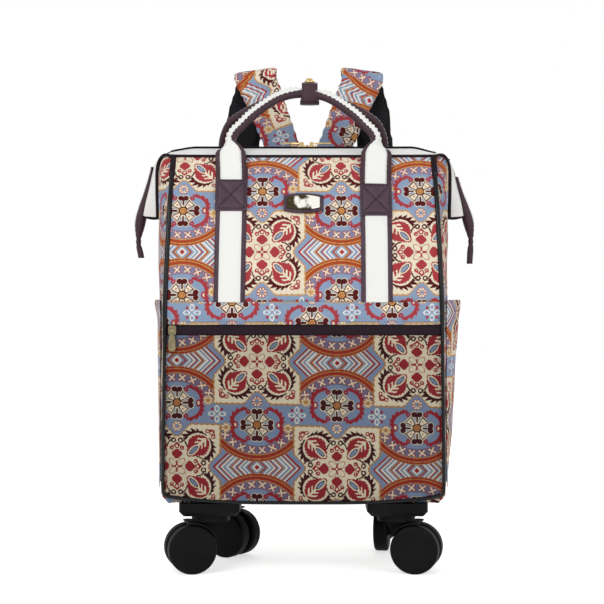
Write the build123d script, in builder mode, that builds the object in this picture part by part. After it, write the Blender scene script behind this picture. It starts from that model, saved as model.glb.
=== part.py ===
from build123d import *
import math
import os

os.makedirs("parts", exist_ok=True)

# Rolling backpack, in millimetres. +Z is up, the front panel faces -Y, the wheels stand on Z = 0,
# and X and Y are centred on the whole object's box.

# Clearances
soft_gap = 0.3
run_gap = 0.05
slide_gap = 0.3

# Bag body: heights above the floor
base_z = 82.0
edge_round = 8.0
seam_z = 313.0
chest_z = 380.0
shoulder_z = 425.0
brow_z = 455.0
mouth_z = 484.0
ridge_z = 496.5

# Bag body: depth and half widths of the front and back panels
front_y = -104.5
body_depth = 178.0
back_y = front_y + body_depth
bottom_half = 161.0
seam_half = 158.5
mouth_half = 153.0
bottom_bulge = 8.0
seam_bulge = 13.0
mouth_bulge = 23.0
bottom_set = 6.0
mouth_front_set = 51.0
mouth_back_set = 55.0
ridge_half_depth = 12.0
ridge_back_set = 3.0
ridge_end_set = 5.0
ridge_half = mouth_half - ridge_end_set
front_lean = [0.16, 0.41, 0.67, 1.0]
back_lean = [0.0, 0.04, 0.47, 1.0]

# Front pocket
pocket_thick = 11.0
pocket_set = 3.5
pocket_half = seam_half - pocket_set
pocket_up = 12.0
pocket_low = base_z + pocket_up
zip_low = 275.0
zip_high = 286.5
zip_thick = 2.4

# Side pockets
side_pocket_wall = 1.6
side_pocket_low = 98.0
side_pocket_high = 315.0
side_pocket_half_depth = 66.0
left_pocket_out = 182.0
right_pocket_out = 187.0

# Trim
piping_r = 2.6
piping_corner = 12.0
piping_bend = 30.0
band_thick = 1.6
band_edge = 2.5
tape_thick = 1.8
tape_half_width = 9.0
tape_drop_x = 178.5
tape_drop_z = 478.0
tape_knee_out = 1.3
tape_knee_up = 1.0
frame_bar = 8.0
frame_thick = 2.0
frame_leg = 70.0
frame_set = 6.0
frame_side_set = 8.0

# Webbing ends and leather tabs on the flanks
wing_half_depth = 11.0
wing_low_z = 412.8
wing_flare = 12.0
wing_tip = 2.0
tab_thick = 3.6
tab_flare = 21.0
tab_bend_z = 392.0
tab_end_z = 362.0
tab_end_width = 7.0
tab_tuck = 4.5
tab_belly_out = 1.0
tab_belly_in = 2.0

# Straps on the front and their patches
strap_x = 84.0
strap_width = 36.0
strap_thick = 1.6
strap_high = 470.0
patch_low = 419.0
patch_high = 454.0
patch_thick = 2.0
rear_patch_x = 98.0
rear_patch_up = 2.0

# Carry handles
handle_r = 5.5
handle_foot_z = 458.0
front_foot_lean = 31.0
rear_foot_lean = 40.0
front_apex_z = 569.0
rear_apex_z = 565.0
handle_shoulder = 62.0
handle_spread = 7.0
handle_flat = 40.0
handle_shoulder_bend = 90.0
handle_top_bend = 75.0
handle_back_set = 2.0
handle_part = 0.8
wrap_x = 7.5
wrap_width = 19.0
wrap_wall = 2.2
wrap_low = 551.0
wrap_high = 577.5
stud_r = 4.6
stud_high = 2.4

# Badge
badge_z = 427.0
badge_width = 45.5
badge_high = 25.5
badge_bow = 3.0
badge_thick = 2.2
plate_width = 37.6
plate_high = 18.6
plate_thick = 1.4

# Zip sliders and pulls
slider_length = 11.0
slider_width = 9.0
slider_high = 2.6
slider_round = 2.5
ear_thick = 1.2
ear_length = 4.0
pin_r = 0.8
pull_length = 24.0
pull_width = 8.0
pull_thick = 1.4
pull_neck = 3.6
pull_corner = 2.0
pull_eye_r = 1.9
meet_x = 4.0
pocket_slider_set = 8.8615

# Padded back and shoulder straps
pad_thick = 11.6
pad_side_set = 23.5
pad_half = seam_half - pad_side_set
pad_low = 95.0
pad_high = 430.0
pad_corner = 24.0
padding = 10.0
padded_width = 53.0
strap_clear = 0.7
strap_end_clear = 3.0
lean_z = 505.0
fold_z = 594.0
fold_in_r = 6.0
bow_z = 400.0
bow_out = 4.0
padded_low = 205.0
padded_low_width = 42.0
webbing_width = 25.0
webbing_low = 104.0
buckle_width = 36.0
buckle_high = 26.0
buckle_thick = 4.6
buckle_corner = 3.0
buckle_slot = 6.0
buckle_play = 1.0
left_low_set = 17.0
right_low_set = 10.0
strap_sides = {"left": (-28.5, -61.4, left_low_set - pad_half),
               "right": (41.8, 76.0, pad_half - right_low_set)}

# Base tray and trolley
tray_half = 146.0
tray_thick = 4.0
tray_set = 14.0
trolley_half = 78.0
trolley_depth = 18.0
trolley_set = 3.2
tube_x = 62.0
tube_width = 18.0
tube_depth = 13.0
tube_wall = 1.0
tube_step_up = 4.0
foot_high = 14.0
foot_side = 4.0
foot_floor = 4.0
socket_deep = 6.0
socket_play = 0.1
bezel_low = 419.0
bezel_high = 427.0
bezel_corner = 4.0
grip_low = 438.0
grip_high = 460.0
grip_half = 74.0
grip_arch = 8.0
grip_shoulder = 14.0
grip_round = 8.0
grip_edge = 4.0
grip_slim = 1.0
button_length = 30.0
button_width = 9.0
button_high = 9.0
button_proud = 2.0
button_travel = 3.0
button_corner = 3.0
button_edge = 1.2
button_clear = 0.5

# Casters
caster_x = 108.0
caster_inset = 30.0
trail = 24.0
wheel_r = 28.0
wheel_width = 17.0
wheel_round = 3.5
wheel_cap = 3.0
web_thick = 8.0
wheel_side_gap = 0.6
axle_r = 3.0
axle_press = 0.01
hub_r = 9.0
kingpin_r = 4.0
kingpin_head_r = 6.5
kingpin_head_high = 3.0
kingpin_clear = 1.0
turntable_r = 22.0
turntable_low = 59.5
turntable_gap = 0.5
housing_low = 67.0
housing_width = 70.0
housing_depth = 60.0
housing_corner = 8.0
housing_chamfer = 5.0
housing_floor = 7.7
web_bite = 1.0
web_share = 0.7
shroud_gap = 1.5
shroud_thick = 1.8
shroud_short = 2.0
shroud_from = 25.0
shroud_sweep = 75.0
screw_r = 1.6
screw_head_r = 3.1
screw_head_high = 2.2
screw_sink = 0.9
screw_short = 1.0
screw_dx = 27.0
screw_dy = 14.0
headings = {"front_left": 194.0, "front_right": -14.0, "rear_left": -30.0, "rear_right": 80.0}

# Each profile gives a measure at rising heights
levels = [base_z, base_z + edge_round, seam_z, chest_z, shoulder_z, brow_z, mouth_z]
front_sets = [bottom_set, 0.0, 0.0] + [share * mouth_front_set for share in front_lean]
back_sets = [bottom_set, 0.0, 0.0] + [share * mouth_back_set for share in back_lean]
rise = [(z - seam_z) / (mouth_z - seam_z) for z in levels[2:]]
half_widths = [bottom_half - bottom_set, bottom_half] + [
    seam_half + (mouth_half - seam_half) * t for t in rise]
bulges = [bottom_bulge, bottom_bulge] + [
    seam_bulge + (mouth_bulge - seam_bulge) * t for t in rise]


# Straight-line value of a profile at one height
def at_height(values, z):
    for i in range(len(levels) - 1):
        if z <= levels[i + 1]:
            share = (z - levels[i]) / (levels[i + 1] - levels[i])
            return values[i] + (values[i + 1] - values[i]) * share
    return values[-1]


def front_at(z):
    return front_y + at_height(front_sets, z)


def back_at(z):
    return back_y - at_height(back_sets, z)


def half_at(z):
    return at_height(half_widths, z)


def side_at(z):
    return half_at(z) + at_height(bulges, z)


def middle_at(z):
    return (front_at(z) + back_at(z)) / 2


# A strip that follows the front or the back panel between two heights, as Y and Z points
def panel_strip(surface, out, low, high, inner, outer):
    heights = [low] + [z for z in levels if low < z < high] + [high]
    outside = [(surface(z) + out * outer, z) for z in heights]
    inside = [(surface(z) + out * inner, z) for z in reversed(heights)]
    return outside + inside


def finish(piece, label):
    piece.part.label = label
    export_step(piece.part, f"parts/{label}.step")


ridge_y = (front_at(mouth_z) + back_at(mouth_z)) / 2 + ridge_back_set
band_low_front = (front_at(mouth_z), mouth_z)
band_low_back = (back_at(mouth_z), mouth_z)
ridge_front = (ridge_y - ridge_half_depth, ridge_z)
ridge_back = (ridge_y + ridge_half_depth, ridge_z)
trolley_y = back_y - trolley_set - trolley_depth / 2
pocket_back = front_y + pocket_thick
tray_top = base_z + tray_thick


# Piping runs up one edge of a panel, along its bottom and up the other edge
def piping_wire(surface):
    heights = list(reversed(levels[1:]))
    left = [(-half_at(z), surface(z), z) for z in heights]
    right = [(half_at(z), surface(z), z) for z in levels[1:]]
    corners = left + right
    bends = [piping_corner if z == levels[1] else piping_bend for x, y, z in corners[1:-1]]
    with BuildLine() as wire:
        FilletPolyline(*corners, radius=bends)
    return wire.line


def pipe(line, r, mode=Mode.ADD):
    with BuildSketch(Plane(origin=line @ 0, z_dir=line % 0)) as section:
        Circle(r)
    sweep(section.sketch, path=line, mode=mode)


# Flat U bar that stiffens one side of the mouth
def frame_bar_at(y, gap, top, mode=Mode.ADD):
    half = mouth_half - frame_side_set
    with BuildSketch(Plane.XZ.offset(-y + frame_thick / 2 + gap)) as bar:
        with Locations((0, (top + mouth_z - frame_leg) / 2)):
            Rectangle(2 * (half + gap), top - mouth_z + frame_leg)
        with Locations((0, mouth_z - frame_bar - gap - frame_leg / 2)):
            Rectangle(2 * (half - frame_bar - gap), frame_leg, mode=Mode.SUBTRACT)
    extrude(bar.sketch, amount=-(frame_thick + 2 * gap), mode=mode)


front_wire = piping_wire(front_at)
back_wire = piping_wire(back_at)
frame_front_y = front_at(mouth_z) + frame_set
frame_back_y = back_at(mouth_z) - frame_set

with BuildPart() as main_bag:
    for z in levels:
        half = half_at(z)
        with BuildSketch(Plane.XY.offset(z)):
            with BuildLine():
                Line((-half, front_at(z)), (half, front_at(z)))
                ThreePointArc((half, front_at(z)), (side_at(z), middle_at(z)), (half, back_at(z)))
                Line((half, back_at(z)), (-half, back_at(z)))
                ThreePointArc((-half, back_at(z)), (-side_at(z), middle_at(z)), (-half, front_at(z)))
            make_face()
    loft(ruled=True)
    with BuildSketch(Plane.YZ.offset(-ridge_half)):
        with BuildLine():
            Polyline(band_low_front, ridge_front, ridge_back, band_low_back, close=True)
        make_face()
    extrude(amount=2 * ridge_half)
    with Locations((0, front_y, (pocket_low + seam_z) / 2)):
        Box(2 * pocket_half + 2 * soft_gap, 2 * pocket_thick, seam_z - pocket_low + 2 * soft_gap,
            mode=Mode.SUBTRACT)
    with Locations((0, (front_y + back_y) / 2, base_z)):
        Box(2 * tray_half + 2 * soft_gap, body_depth - 2 * tray_set + 2 * soft_gap,
            2 * (tray_thick + soft_gap), mode=Mode.SUBTRACT)
    with Locations((0, back_y, (tray_top + soft_gap + ridge_z) / 2)):
        Box(2 * trolley_half, 2 * (trolley_set + trolley_depth), ridge_z - tray_top - soft_gap,
            mode=Mode.SUBTRACT)
    pipe(front_wire, piping_r + soft_gap, Mode.SUBTRACT)
    pipe(back_wire, piping_r + soft_gap, Mode.SUBTRACT)
    frame_bar_at(frame_front_y, soft_gap, ridge_z, Mode.SUBTRACT)
    frame_bar_at(frame_back_y, soft_gap, ridge_z, Mode.SUBTRACT)
finish(main_bag, "main_bag")

with BuildPart() as front_piping:
    pipe(front_wire, piping_r)
finish(front_piping, "front_piping")

with BuildPart() as back_piping:
    pipe(back_wire, piping_r)
finish(back_piping, "back_piping")

with BuildPart() as mouth_frames:
    frame_bar_at(frame_front_y, 0, mouth_z)
    frame_bar_at(frame_back_y, 0, mouth_z)
finish(mouth_frames, "mouth_frames")

# Front pocket, its zip tape on a step at the top, and the cloth placket above
with BuildPart() as front_pocket:
    with BuildSketch(Plane.YZ.offset(-pocket_half)):
        with BuildLine():
            Polyline(
                (front_y, pocket_low),
                (front_y, zip_low - soft_gap),
                (front_y + zip_thick + 2 * soft_gap, zip_low - soft_gap),
                (front_y + zip_thick + 2 * soft_gap, zip_high),
                (pocket_back, zip_high),
                (pocket_back, pocket_low),
                close=True,
            )
        make_face()
    extrude(amount=2 * pocket_half)
    pipe(front_wire, piping_r + soft_gap, Mode.SUBTRACT)
finish(front_pocket, "front_pocket")

with BuildPart() as pocket_zip_tape:
    with Locations((0, front_y + soft_gap + zip_thick / 2, (zip_low + zip_high) / 2)):
        Box(2 * pocket_half - 2 * piping_r, zip_thick, zip_high - zip_low)
finish(pocket_zip_tape, "pocket_zip_tape")

with BuildPart() as placket:
    with Locations((0, front_y + pocket_thick / 2, (zip_high + soft_gap + seam_z) / 2)):
        Box(2 * pocket_half, pocket_thick, seam_z - zip_high - soft_gap)
    pipe(front_wire, piping_r + soft_gap, Mode.SUBTRACT)
finish(placket, "placket")

# Open side pockets: a curved wall that stands away from the flank at its top
pocket_mid = (front_y + back_y) / 2
for name, side, top_out in (("left", -1, left_pocket_out), ("right", 1, right_pocket_out)):
    with BuildPart() as side_pocket:
        for z, out in ((side_pocket_low, None), (side_pocket_high, top_out)):
            bulge = side_at(z) - half_at(z)
            share = (2 * side_pocket_half_depth / body_depth) ** 2
            edge = side_at(z) - bulge * share + 2 * soft_gap
            outside = out or side_at(z) + side_pocket_wall + 2 * soft_gap
            near = pocket_mid - side_pocket_half_depth
            far = pocket_mid + side_pocket_half_depth
            with BuildSketch(Plane.XY.offset(z)):
                with BuildLine():
                    ThreePointArc(
                        (side * (edge + side_pocket_wall), near),
                        (side * outside, pocket_mid),
                        (side * (edge + side_pocket_wall), far),
                    )
                    Line((side * (edge + side_pocket_wall), far), (side * edge, far))
                    ThreePointArc(
                        (side * edge, far),
                        (side * (outside - side_pocket_wall), pocket_mid),
                        (side * edge, near),
                    )
                    Line((side * edge, near), (side * (edge + side_pocket_wall), near))
                make_face()
        loft(ruled=True)
    finish(side_pocket, f"side_pocket_{name}")

# Mouth: zip tape along the ridge and down to each flank, with a webbing band on either side
tape_low = ridge_z + soft_gap
knee_x = side_at(mouth_z) + tape_knee_out
knee_z = mouth_z + tape_knee_up
with BuildPart() as mouth_zip_tape:
    with BuildSketch(Plane.XZ.offset(-ridge_y - tape_half_width)):
        with BuildLine():
            Polyline(
                (-tape_drop_x - tape_thick, tape_drop_z),
                (-knee_x - tape_thick, knee_z + tape_thick),
                (-ridge_half - tape_thick, tape_low + tape_thick),
                (ridge_half + tape_thick, tape_low + tape_thick),
                (knee_x + tape_thick, knee_z + tape_thick),
                (tape_drop_x + tape_thick, tape_drop_z),
                (tape_drop_x, tape_drop_z),
                (knee_x, knee_z),
                (ridge_half + tape_thick, tape_low),
                (-ridge_half - tape_thick, tape_low),
                (-knee_x, knee_z),
                (-tape_drop_x, tape_drop_z),
                close=True,
            )
        make_face()
    extrude(amount=2 * tape_half_width)
finish(mouth_zip_tape, "mouth_zip_tape")


def lifted(point, out, up):
    return (point[0] + out, point[1] + up)


with BuildPart() as mouth_bands:
    for low, high, out in ((band_low_front, ridge_front, -1), (band_low_back, ridge_back, 1)):
        slope = Vector(high[0] - low[0], high[1] - low[1]).normalized()
        normal = (out * abs(slope.Y), abs(slope.X))
        under = (normal[0] * soft_gap, normal[1] * soft_gap)
        over = (normal[0] * (soft_gap + band_thick), normal[1] * (soft_gap + band_thick))
        inset = (slope.X * band_edge, slope.Y * band_edge)
        with BuildSketch(Plane.YZ.offset(-ridge_half)):
            with BuildLine():
                Polyline(
                    lifted(low, *under),
                    lifted(low, *over),
                    (high[0] + over[0] - inset[0], high[1] + over[1] - inset[1]),
                    (high[0] + under[0] - inset[0], high[1] + under[1] - inset[1]),
                    close=True,
                )
            make_face()
        extrude(amount=2 * ridge_half)
finish(mouth_bands, "mouth_bands")

# Webbing ends and leather tabs that hang down each flank from the ends of the top zip
wing_top_z = tape_drop_z - soft_gap
wing_hug = side_at(wing_low_z) + wing_tip
with BuildPart() as wing_bands:
    for side in (-1, 1):
        with BuildSketch(Plane.XZ.offset(-ridge_y - wing_half_depth)):
            with BuildLine():
                Polyline(
                    (side * (tape_drop_x + soft_gap), wing_top_z),
                    (side * (tape_drop_x + wing_flare), wing_low_z),
                    (side * wing_hug, wing_low_z + wing_tip),
                    close=True,
                )
            make_face()
        extrude(amount=2 * wing_half_depth)
finish(wing_bands, "wing_bands")

tab_top_x = tape_drop_x + tape_thick
tab_elbow_x = tape_drop_x + tab_flare
tab_foot_x = tab_elbow_x - tab_tuck
with BuildPart() as wing_tabs:
    for side in (-1, 1):
        with BuildSketch(Plane.XZ.offset(-ridge_y - wing_half_depth)):
            with BuildLine():
                Polyline(
                    (side * tab_top_x, wing_top_z),
                    (side * (tab_top_x + tab_thick / 2), wing_top_z),
                    (side * (tab_elbow_x + tab_thick), wing_low_z),
                    (side * (tab_elbow_x + tab_thick + tab_belly_out), tab_bend_z),
                    (side * (tab_foot_x + tab_end_width), tab_end_z),
                    (side * tab_foot_x, tab_end_z),
                    (side * (tab_elbow_x - tab_belly_in), tab_bend_z),
                    (side * tab_elbow_x, wing_low_z),
                    close=True,
                )
            make_face()
        extrude(amount=2 * wing_half_depth)
finish(wing_tabs, "wing_tabs")

# Webbing straps down the front, and stitched leather patches over them and at the rear handle
with BuildPart() as front_straps:
    for side in (-1, 1):
        with BuildSketch(Plane.YZ.offset(side * strap_x - strap_width / 2)):
            with BuildLine():
                Polyline(*panel_strip(front_at, -1, seam_z, strap_high, soft_gap, soft_gap + strap_thick),
                         close=True)
            make_face()
        extrude(amount=strap_width)
finish(front_straps, "front_straps")

strap_face = soft_gap + strap_thick
rear_patch_low = pad_high + rear_patch_up
with BuildPart() as handle_patches:
    for x, surface, out, inner, low in (
        (-strap_x, front_at, -1, strap_face + soft_gap, patch_low),
        (strap_x, front_at, -1, strap_face + soft_gap, patch_low),
        (-rear_patch_x, back_at, 1, soft_gap, rear_patch_low),
        (rear_patch_x, back_at, 1, soft_gap, rear_patch_low),
    ):
        with BuildSketch(Plane.YZ.offset(x - strap_width / 2)):
            with BuildLine():
                Polyline(*panel_strip(surface, out, low, patch_high, inner, inner + patch_thick),
                         close=True)
            make_face()
        extrude(amount=strap_width)
finish(handle_patches, "handle_patches")

# Rolled carry handles lean towards each other and meet in the wrap
front_reach = handle_r / math.cos(math.radians(front_foot_lean))
rear_reach = handle_r / math.cos(math.radians(rear_foot_lean))
front_foot_y = front_at(handle_foot_z) - strap_face - soft_gap - front_reach
rear_foot_y = back_at(handle_foot_z) + soft_gap + rear_reach
apex_y = ridge_y + handle_back_set
front_apex_y = apex_y - handle_r - handle_part
rear_apex_y = apex_y + handle_r + handle_part


def handle_wire(foot_y, apex_at, apex_z, leg_x):
    lean = Vector(0, apex_at - foot_y, apex_z - handle_foot_z)
    plane = Plane(origin=(0, foot_y, handle_foot_z), x_dir=(1, 0, 0),
                  z_dir=Vector(1, 0, 0).cross(lean))
    top = lean.length
    with BuildLine(plane) as wire:
        FilletPolyline(
            (-leg_x, 0),
            (-leg_x - handle_spread, handle_shoulder),
            (-handle_flat, top),
            (handle_flat, top),
            (leg_x + handle_spread, handle_shoulder),
            (leg_x, 0),
            radius=[handle_shoulder_bend, handle_top_bend, handle_top_bend, handle_shoulder_bend],
        )
    return wire.line


front_handle_wire = handle_wire(front_foot_y, front_apex_y, front_apex_z, strap_x)
rear_handle_wire = handle_wire(rear_foot_y, rear_apex_y, rear_apex_z, rear_patch_x)

with BuildPart() as front_handle:
    pipe(front_handle_wire, handle_r)
finish(front_handle, "front_handle")

with BuildPart() as rear_handle:
    pipe(rear_handle_wire, handle_r)
finish(rear_handle, "rear_handle")

with BuildPart() as handle_wrap:
    with BuildSketch(Plane.YZ.offset(wrap_x - wrap_width / 2)):
        with Locations((apex_y, (wrap_low + wrap_high) / 2)):
            RectangleRounded(rear_apex_y - front_apex_y + 2 * (handle_r + wrap_wall),
                             wrap_high - wrap_low, handle_r)
    extrude(amount=wrap_width)
    pipe(front_handle_wire, handle_r + soft_gap, Mode.SUBTRACT)
    pipe(rear_handle_wire, handle_r + soft_gap, Mode.SUBTRACT)
finish(handle_wrap, "handle_wrap")

with BuildPart() as wrap_stud:
    with BuildSketch(Plane.XY.offset(wrap_high)):
        with Locations((wrap_x, apex_y)):
            Circle(stud_r)
    extrude(amount=stud_high)
    fillet(wrap_stud.edges().sort_by(Axis.Z)[-1], stud_high / 2)
finish(wrap_stud, "wrap_stud")

# Badge on the sloping front: leather backing with bowed ends and a bare plate
badge_slope = Vector(0, front_at(badge_z + 1) - front_at(badge_z - 1), 2.0)
badge_normal = Vector(1, 0, 0).cross(badge_slope)


def barrel(width, height, bow):
    with BuildLine() as outline:
        ThreePointArc((-width / 2, height / 2 - bow), (0, height / 2), (width / 2, height / 2 - bow))
        Line((width / 2, height / 2 - bow), (width / 2, -height / 2 + bow))
        ThreePointArc((width / 2, -height / 2 + bow), (0, -height / 2), (-width / 2, -height / 2 + bow))
        Line((-width / 2, -height / 2 + bow), (-width / 2, height / 2 - bow))
    make_face(outline.edges())


badge_plane = Plane(origin=(0, front_at(badge_z), badge_z), x_dir=(1, 0, 0), z_dir=badge_normal)
with BuildPart() as badge_backing:
    with BuildSketch(badge_plane.offset(soft_gap)):
        barrel(badge_width, badge_high, badge_bow)
    extrude(amount=badge_thick)
finish(badge_backing, "badge_backing")

with BuildPart() as badge_plate:
    with BuildSketch(badge_plane.offset(soft_gap + badge_thick)):
        barrel(plate_width, plate_high, badge_bow)
    extrude(amount=plate_thick)
    chamfer(badge_plate.faces().sort_by(Axis.Y)[0].edges(), plate_thick / 3)
finish(badge_plate, "badge_plate")


# A slider stands on its tape with two ears and a pin along its own Y; its pull hangs from the pin along -X
def zip_slider(plane, label):
    pin_high = slider_high + pull_eye_r + slide_gap
    ear_inner = pull_width / 4 + slide_gap
    with BuildPart() as slider:
        with BuildSketch(plane.offset(soft_gap)):
            RectangleRounded(slider_length, slider_width, slider_round)
        extrude(amount=slider_high)
        with BuildSketch(plane.offset(soft_gap)):
            with Locations((0, ear_inner + ear_thick / 2), (0, -ear_inner - ear_thick / 2)):
                Rectangle(ear_length, ear_thick)
        extrude(amount=pin_high + 2 * pin_r)
        pin_plane = Plane(origin=plane.from_local_coords((0, 0, soft_gap + pin_high)), z_dir=plane.y_dir)
        with BuildSketch(pin_plane):
            Circle(pin_r)
        extrude(amount=ear_inner + ear_thick / 2, both=True)
    finish(slider, label)


def zip_pull(plane, label):
    pin_high = slider_high + pull_eye_r + slide_gap
    centre = plane.from_local_coords((0, 0, soft_gap + pin_high))
    with BuildPart() as pull:
        with BuildSketch(Plane(origin=centre, x_dir=plane.x_dir, z_dir=plane.y_dir)):
            Circle(pull_eye_r)
        extrude(amount=pull_width / 4, both=True)
        with BuildSketch(Plane(origin=centre, x_dir=plane.x_dir, z_dir=plane.z_dir)):
            with BuildLine():
                Polyline(
                    (0, pull_width / 4),
                    (-pull_neck, pull_width / 4),
                    (-pull_length / 2, pull_width / 2),
                    (-pull_length + pull_corner, pull_width / 2),
                    (-pull_length, pull_width / 2 - pull_corner),
                    (-pull_length, -pull_width / 2 + pull_corner),
                    (-pull_length + pull_corner, -pull_width / 2),
                    (-pull_length / 2, -pull_width / 2),
                    (-pull_neck, -pull_width / 4),
                    (0, -pull_width / 4),
                    close=True,
                )
            make_face()
        extrude(amount=pull_thick / 2, both=True)
        with BuildSketch(Plane(origin=centre, x_dir=plane.x_dir, z_dir=plane.y_dir)):
            Circle(pin_r + run_gap)
        extrude(amount=pull_width, both=True, mode=Mode.SUBTRACT)
    finish(pull, label)


tape_top = tape_low + tape_thick
slider_half = slider_length / 2 + slide_gap / 2
slider_planes = {
    "left": Plane(origin=(meet_x - slider_half, ridge_y, tape_top), x_dir=(1, 0, 0), z_dir=(0, 0, 1)),
    "right": Plane(origin=(meet_x + slider_half, ridge_y, tape_top), x_dir=(-1, 0, 0), z_dir=(0, 0, 1)),
}
for name, plane in slider_planes.items():
    zip_slider(plane, f"top_slider_{name}")
    zip_pull(plane, f"top_pull_{name}")

pocket_slider_z = (zip_low + zip_high) / 2
pocket_slider_plane = Plane(
    origin=(pocket_slider_set - half_at(pocket_slider_z), front_y + soft_gap, pocket_slider_z),
    x_dir=(0, 0, 1),
    z_dir=(0, -1, 0),
)
zip_slider(pocket_slider_plane, "pocket_slider")
zip_pull(pocket_slider_plane, "pocket_pull")

# Padded back panel closes the trolley channel
with BuildPart() as back_panel:
    with BuildSketch(Plane.XZ.offset(-back_y - soft_gap - pad_thick)):
        with Locations((0, (pad_low + pad_high) / 2)):
            RectangleRounded(2 * pad_half, pad_high - pad_low, pad_corner)
    extrude(amount=pad_thick)
    fillet(back_panel.faces().sort_by(Axis.Y)[-1].edges(), pad_thick / 2)
finish(back_panel, "back_panel")

# Shoulder straps rise from the top of the back panel, fold over and come down behind it
rise_y = back_y + soft_gap + padding / 2 + strap_clear
fold_out_r = fold_in_r + padding
fold_y = rise_y + padding / 2 + fold_in_r
return_y = fold_y + fold_in_r + padding / 2
low_y = back_y + soft_gap + pad_thick + strap_end_clear + padding / 2


def strap_section(x, y, z, width, thick):
    with BuildSketch(Plane.XY.offset(z)) as section:
        with Locations((x, y)):
            Rectangle(width, thick)
    return section.sketch


for name, (root_x, top_x, low_x) in strap_sides.items():
    with BuildPart() as shoulder_strap:
        rising = [
            strap_section(root_x, rise_y, pad_high + soft_gap, padded_width, padding),
            strap_section(root_x, rise_y, lean_z, padded_width, padding),
            strap_section(top_x, rise_y, fold_z, padded_width, padding),
        ]
        loft(rising, ruled=True)
        with BuildSketch(Plane.YZ.offset(top_x - padded_width / 2)):
            with Locations((fold_y, fold_z)):
                Circle(fold_out_r)
                Circle(fold_in_r, mode=Mode.SUBTRACT)
            with Locations((fold_y, fold_z - fold_out_r)):
                Rectangle(4 * fold_out_r, 2 * fold_out_r, mode=Mode.SUBTRACT)
        extrude(amount=padded_width)
        bow_share = (fold_z - bow_z) / (fold_z - padded_low)
        bow_x = top_x + (low_x - top_x) * bow_share
        returning = [
            strap_section(top_x, return_y, fold_z, padded_width, padding),
            strap_section(bow_x, return_y + bow_out, bow_z, padded_width, padding),
            strap_section(low_x, low_y, padded_low, padded_low_width, padding),
        ]
        loft(returning, ruled=True)
    finish(shoulder_strap, f"shoulder_strap_{name}")

# Ladder buckles under the padded ends, and the webbing from them to the bottom of the back panel
buckle_mid = padded_low - soft_gap - buckle_high / 2
with BuildPart() as strap_buckles:
    for root_x, top_x, low_x in strap_sides.values():
        with BuildSketch(Plane.XZ.offset(-low_y - buckle_thick / 2)):
            with Locations((low_x, buckle_mid)):
                RectangleRounded(buckle_width, buckle_high, buckle_corner)
            with Locations((low_x, buckle_mid + buckle_slot), (low_x, buckle_mid - buckle_slot)):
                Rectangle(webbing_width + 2 * buckle_play, buckle_slot, mode=Mode.SUBTRACT)
        extrude(amount=buckle_thick)
finish(strap_buckles, "strap_buckles")

with BuildPart() as lower_straps:
    for root_x, top_x, low_x in strap_sides.values():
        webbing_y = back_y + soft_gap + pad_thick + soft_gap + strap_thick / 2
        webbing_top = buckle_mid - buckle_high / 2 - soft_gap
        hanging = [
            strap_section(low_x, low_y, webbing_top, webbing_width, strap_thick),
            strap_section(low_x, webbing_y, webbing_low, webbing_width, strap_thick),
        ]
        loft(hanging, ruled=True)
finish(lower_straps, "lower_straps")

# Base tray under the bag
tray_front = front_y + tray_set
tray_back = back_y - tray_set
housing_spots = {
    "front_left": (-caster_x, front_y + caster_inset),
    "front_right": (caster_x, front_y + caster_inset),
    "rear_left": (-caster_x, back_y - caster_inset),
    "rear_right": (caster_x, back_y - caster_inset),
}
screw_spots = [
    (x + dx, y + dy)
    for x, y in housing_spots.values()
    for dx in (-screw_dx, screw_dx)
    for dy in (-screw_dy, screw_dy)
]
with BuildPart() as base_tray:
    with BuildSketch(Plane.XY.offset(base_z)):
        with Locations((0, (tray_front + tray_back) / 2)):
            Rectangle(2 * tray_half, tray_back - tray_front)
        with Locations(*screw_spots):
            Circle(screw_r + run_gap, mode=Mode.SUBTRACT)
    extrude(amount=tray_thick)
finish(base_tray, "base_tray")

# Trolley: feet on the tray, three nested pairs of tubes, bezel, grip and release button
middle_width = tube_width - 2 * tube_wall - 2 * slide_gap
middle_depth = tube_depth - 2 * tube_wall - 2 * slide_gap
inner_width = middle_width - 2 * tube_wall - 2 * slide_gap
inner_depth = middle_depth - 2 * tube_wall - 2 * slide_gap
foot_low = tray_top + soft_gap
outer_low = foot_low + foot_floor
middle_low = outer_low + tube_step_up
inner_low = middle_low + tube_step_up


def tube_pair(width, depth, low, high, label):
    with BuildPart() as tubes:
        with BuildSketch(Plane.XY.offset(low)):
            with Locations((-tube_x, trolley_y), (tube_x, trolley_y)):
                Rectangle(width, depth)
                Rectangle(width - 2 * tube_wall, depth - 2 * tube_wall, mode=Mode.SUBTRACT)
        extrude(amount=high - low)
    finish(tubes, label)


with BuildPart() as trolley_feet:
    with BuildSketch(Plane.XY.offset(foot_low)):
        with Locations((-tube_x, trolley_y), (tube_x, trolley_y)):
            Rectangle(tube_width + 2 * foot_side, trolley_depth - 2 * soft_gap)
    extrude(amount=foot_high)
    with BuildSketch(Plane.XY.offset(outer_low)):
        with Locations((-tube_x, trolley_y), (tube_x, trolley_y)):
            Rectangle(tube_width + 2 * socket_play, tube_depth + 2 * socket_play)
    extrude(amount=foot_high, mode=Mode.SUBTRACT)
finish(trolley_feet, "trolley_feet")

tube_pair(tube_width, tube_depth, outer_low, bezel_low - soft_gap, "trolley_outer_tubes")
tube_pair(middle_width, middle_depth, middle_low, bezel_high + tube_step_up, "trolley_middle_tubes")
tube_pair(inner_width, inner_depth, inner_low, grip_low + socket_deep - 2 * socket_play,
          "trolley_inner_tubes")

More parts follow.
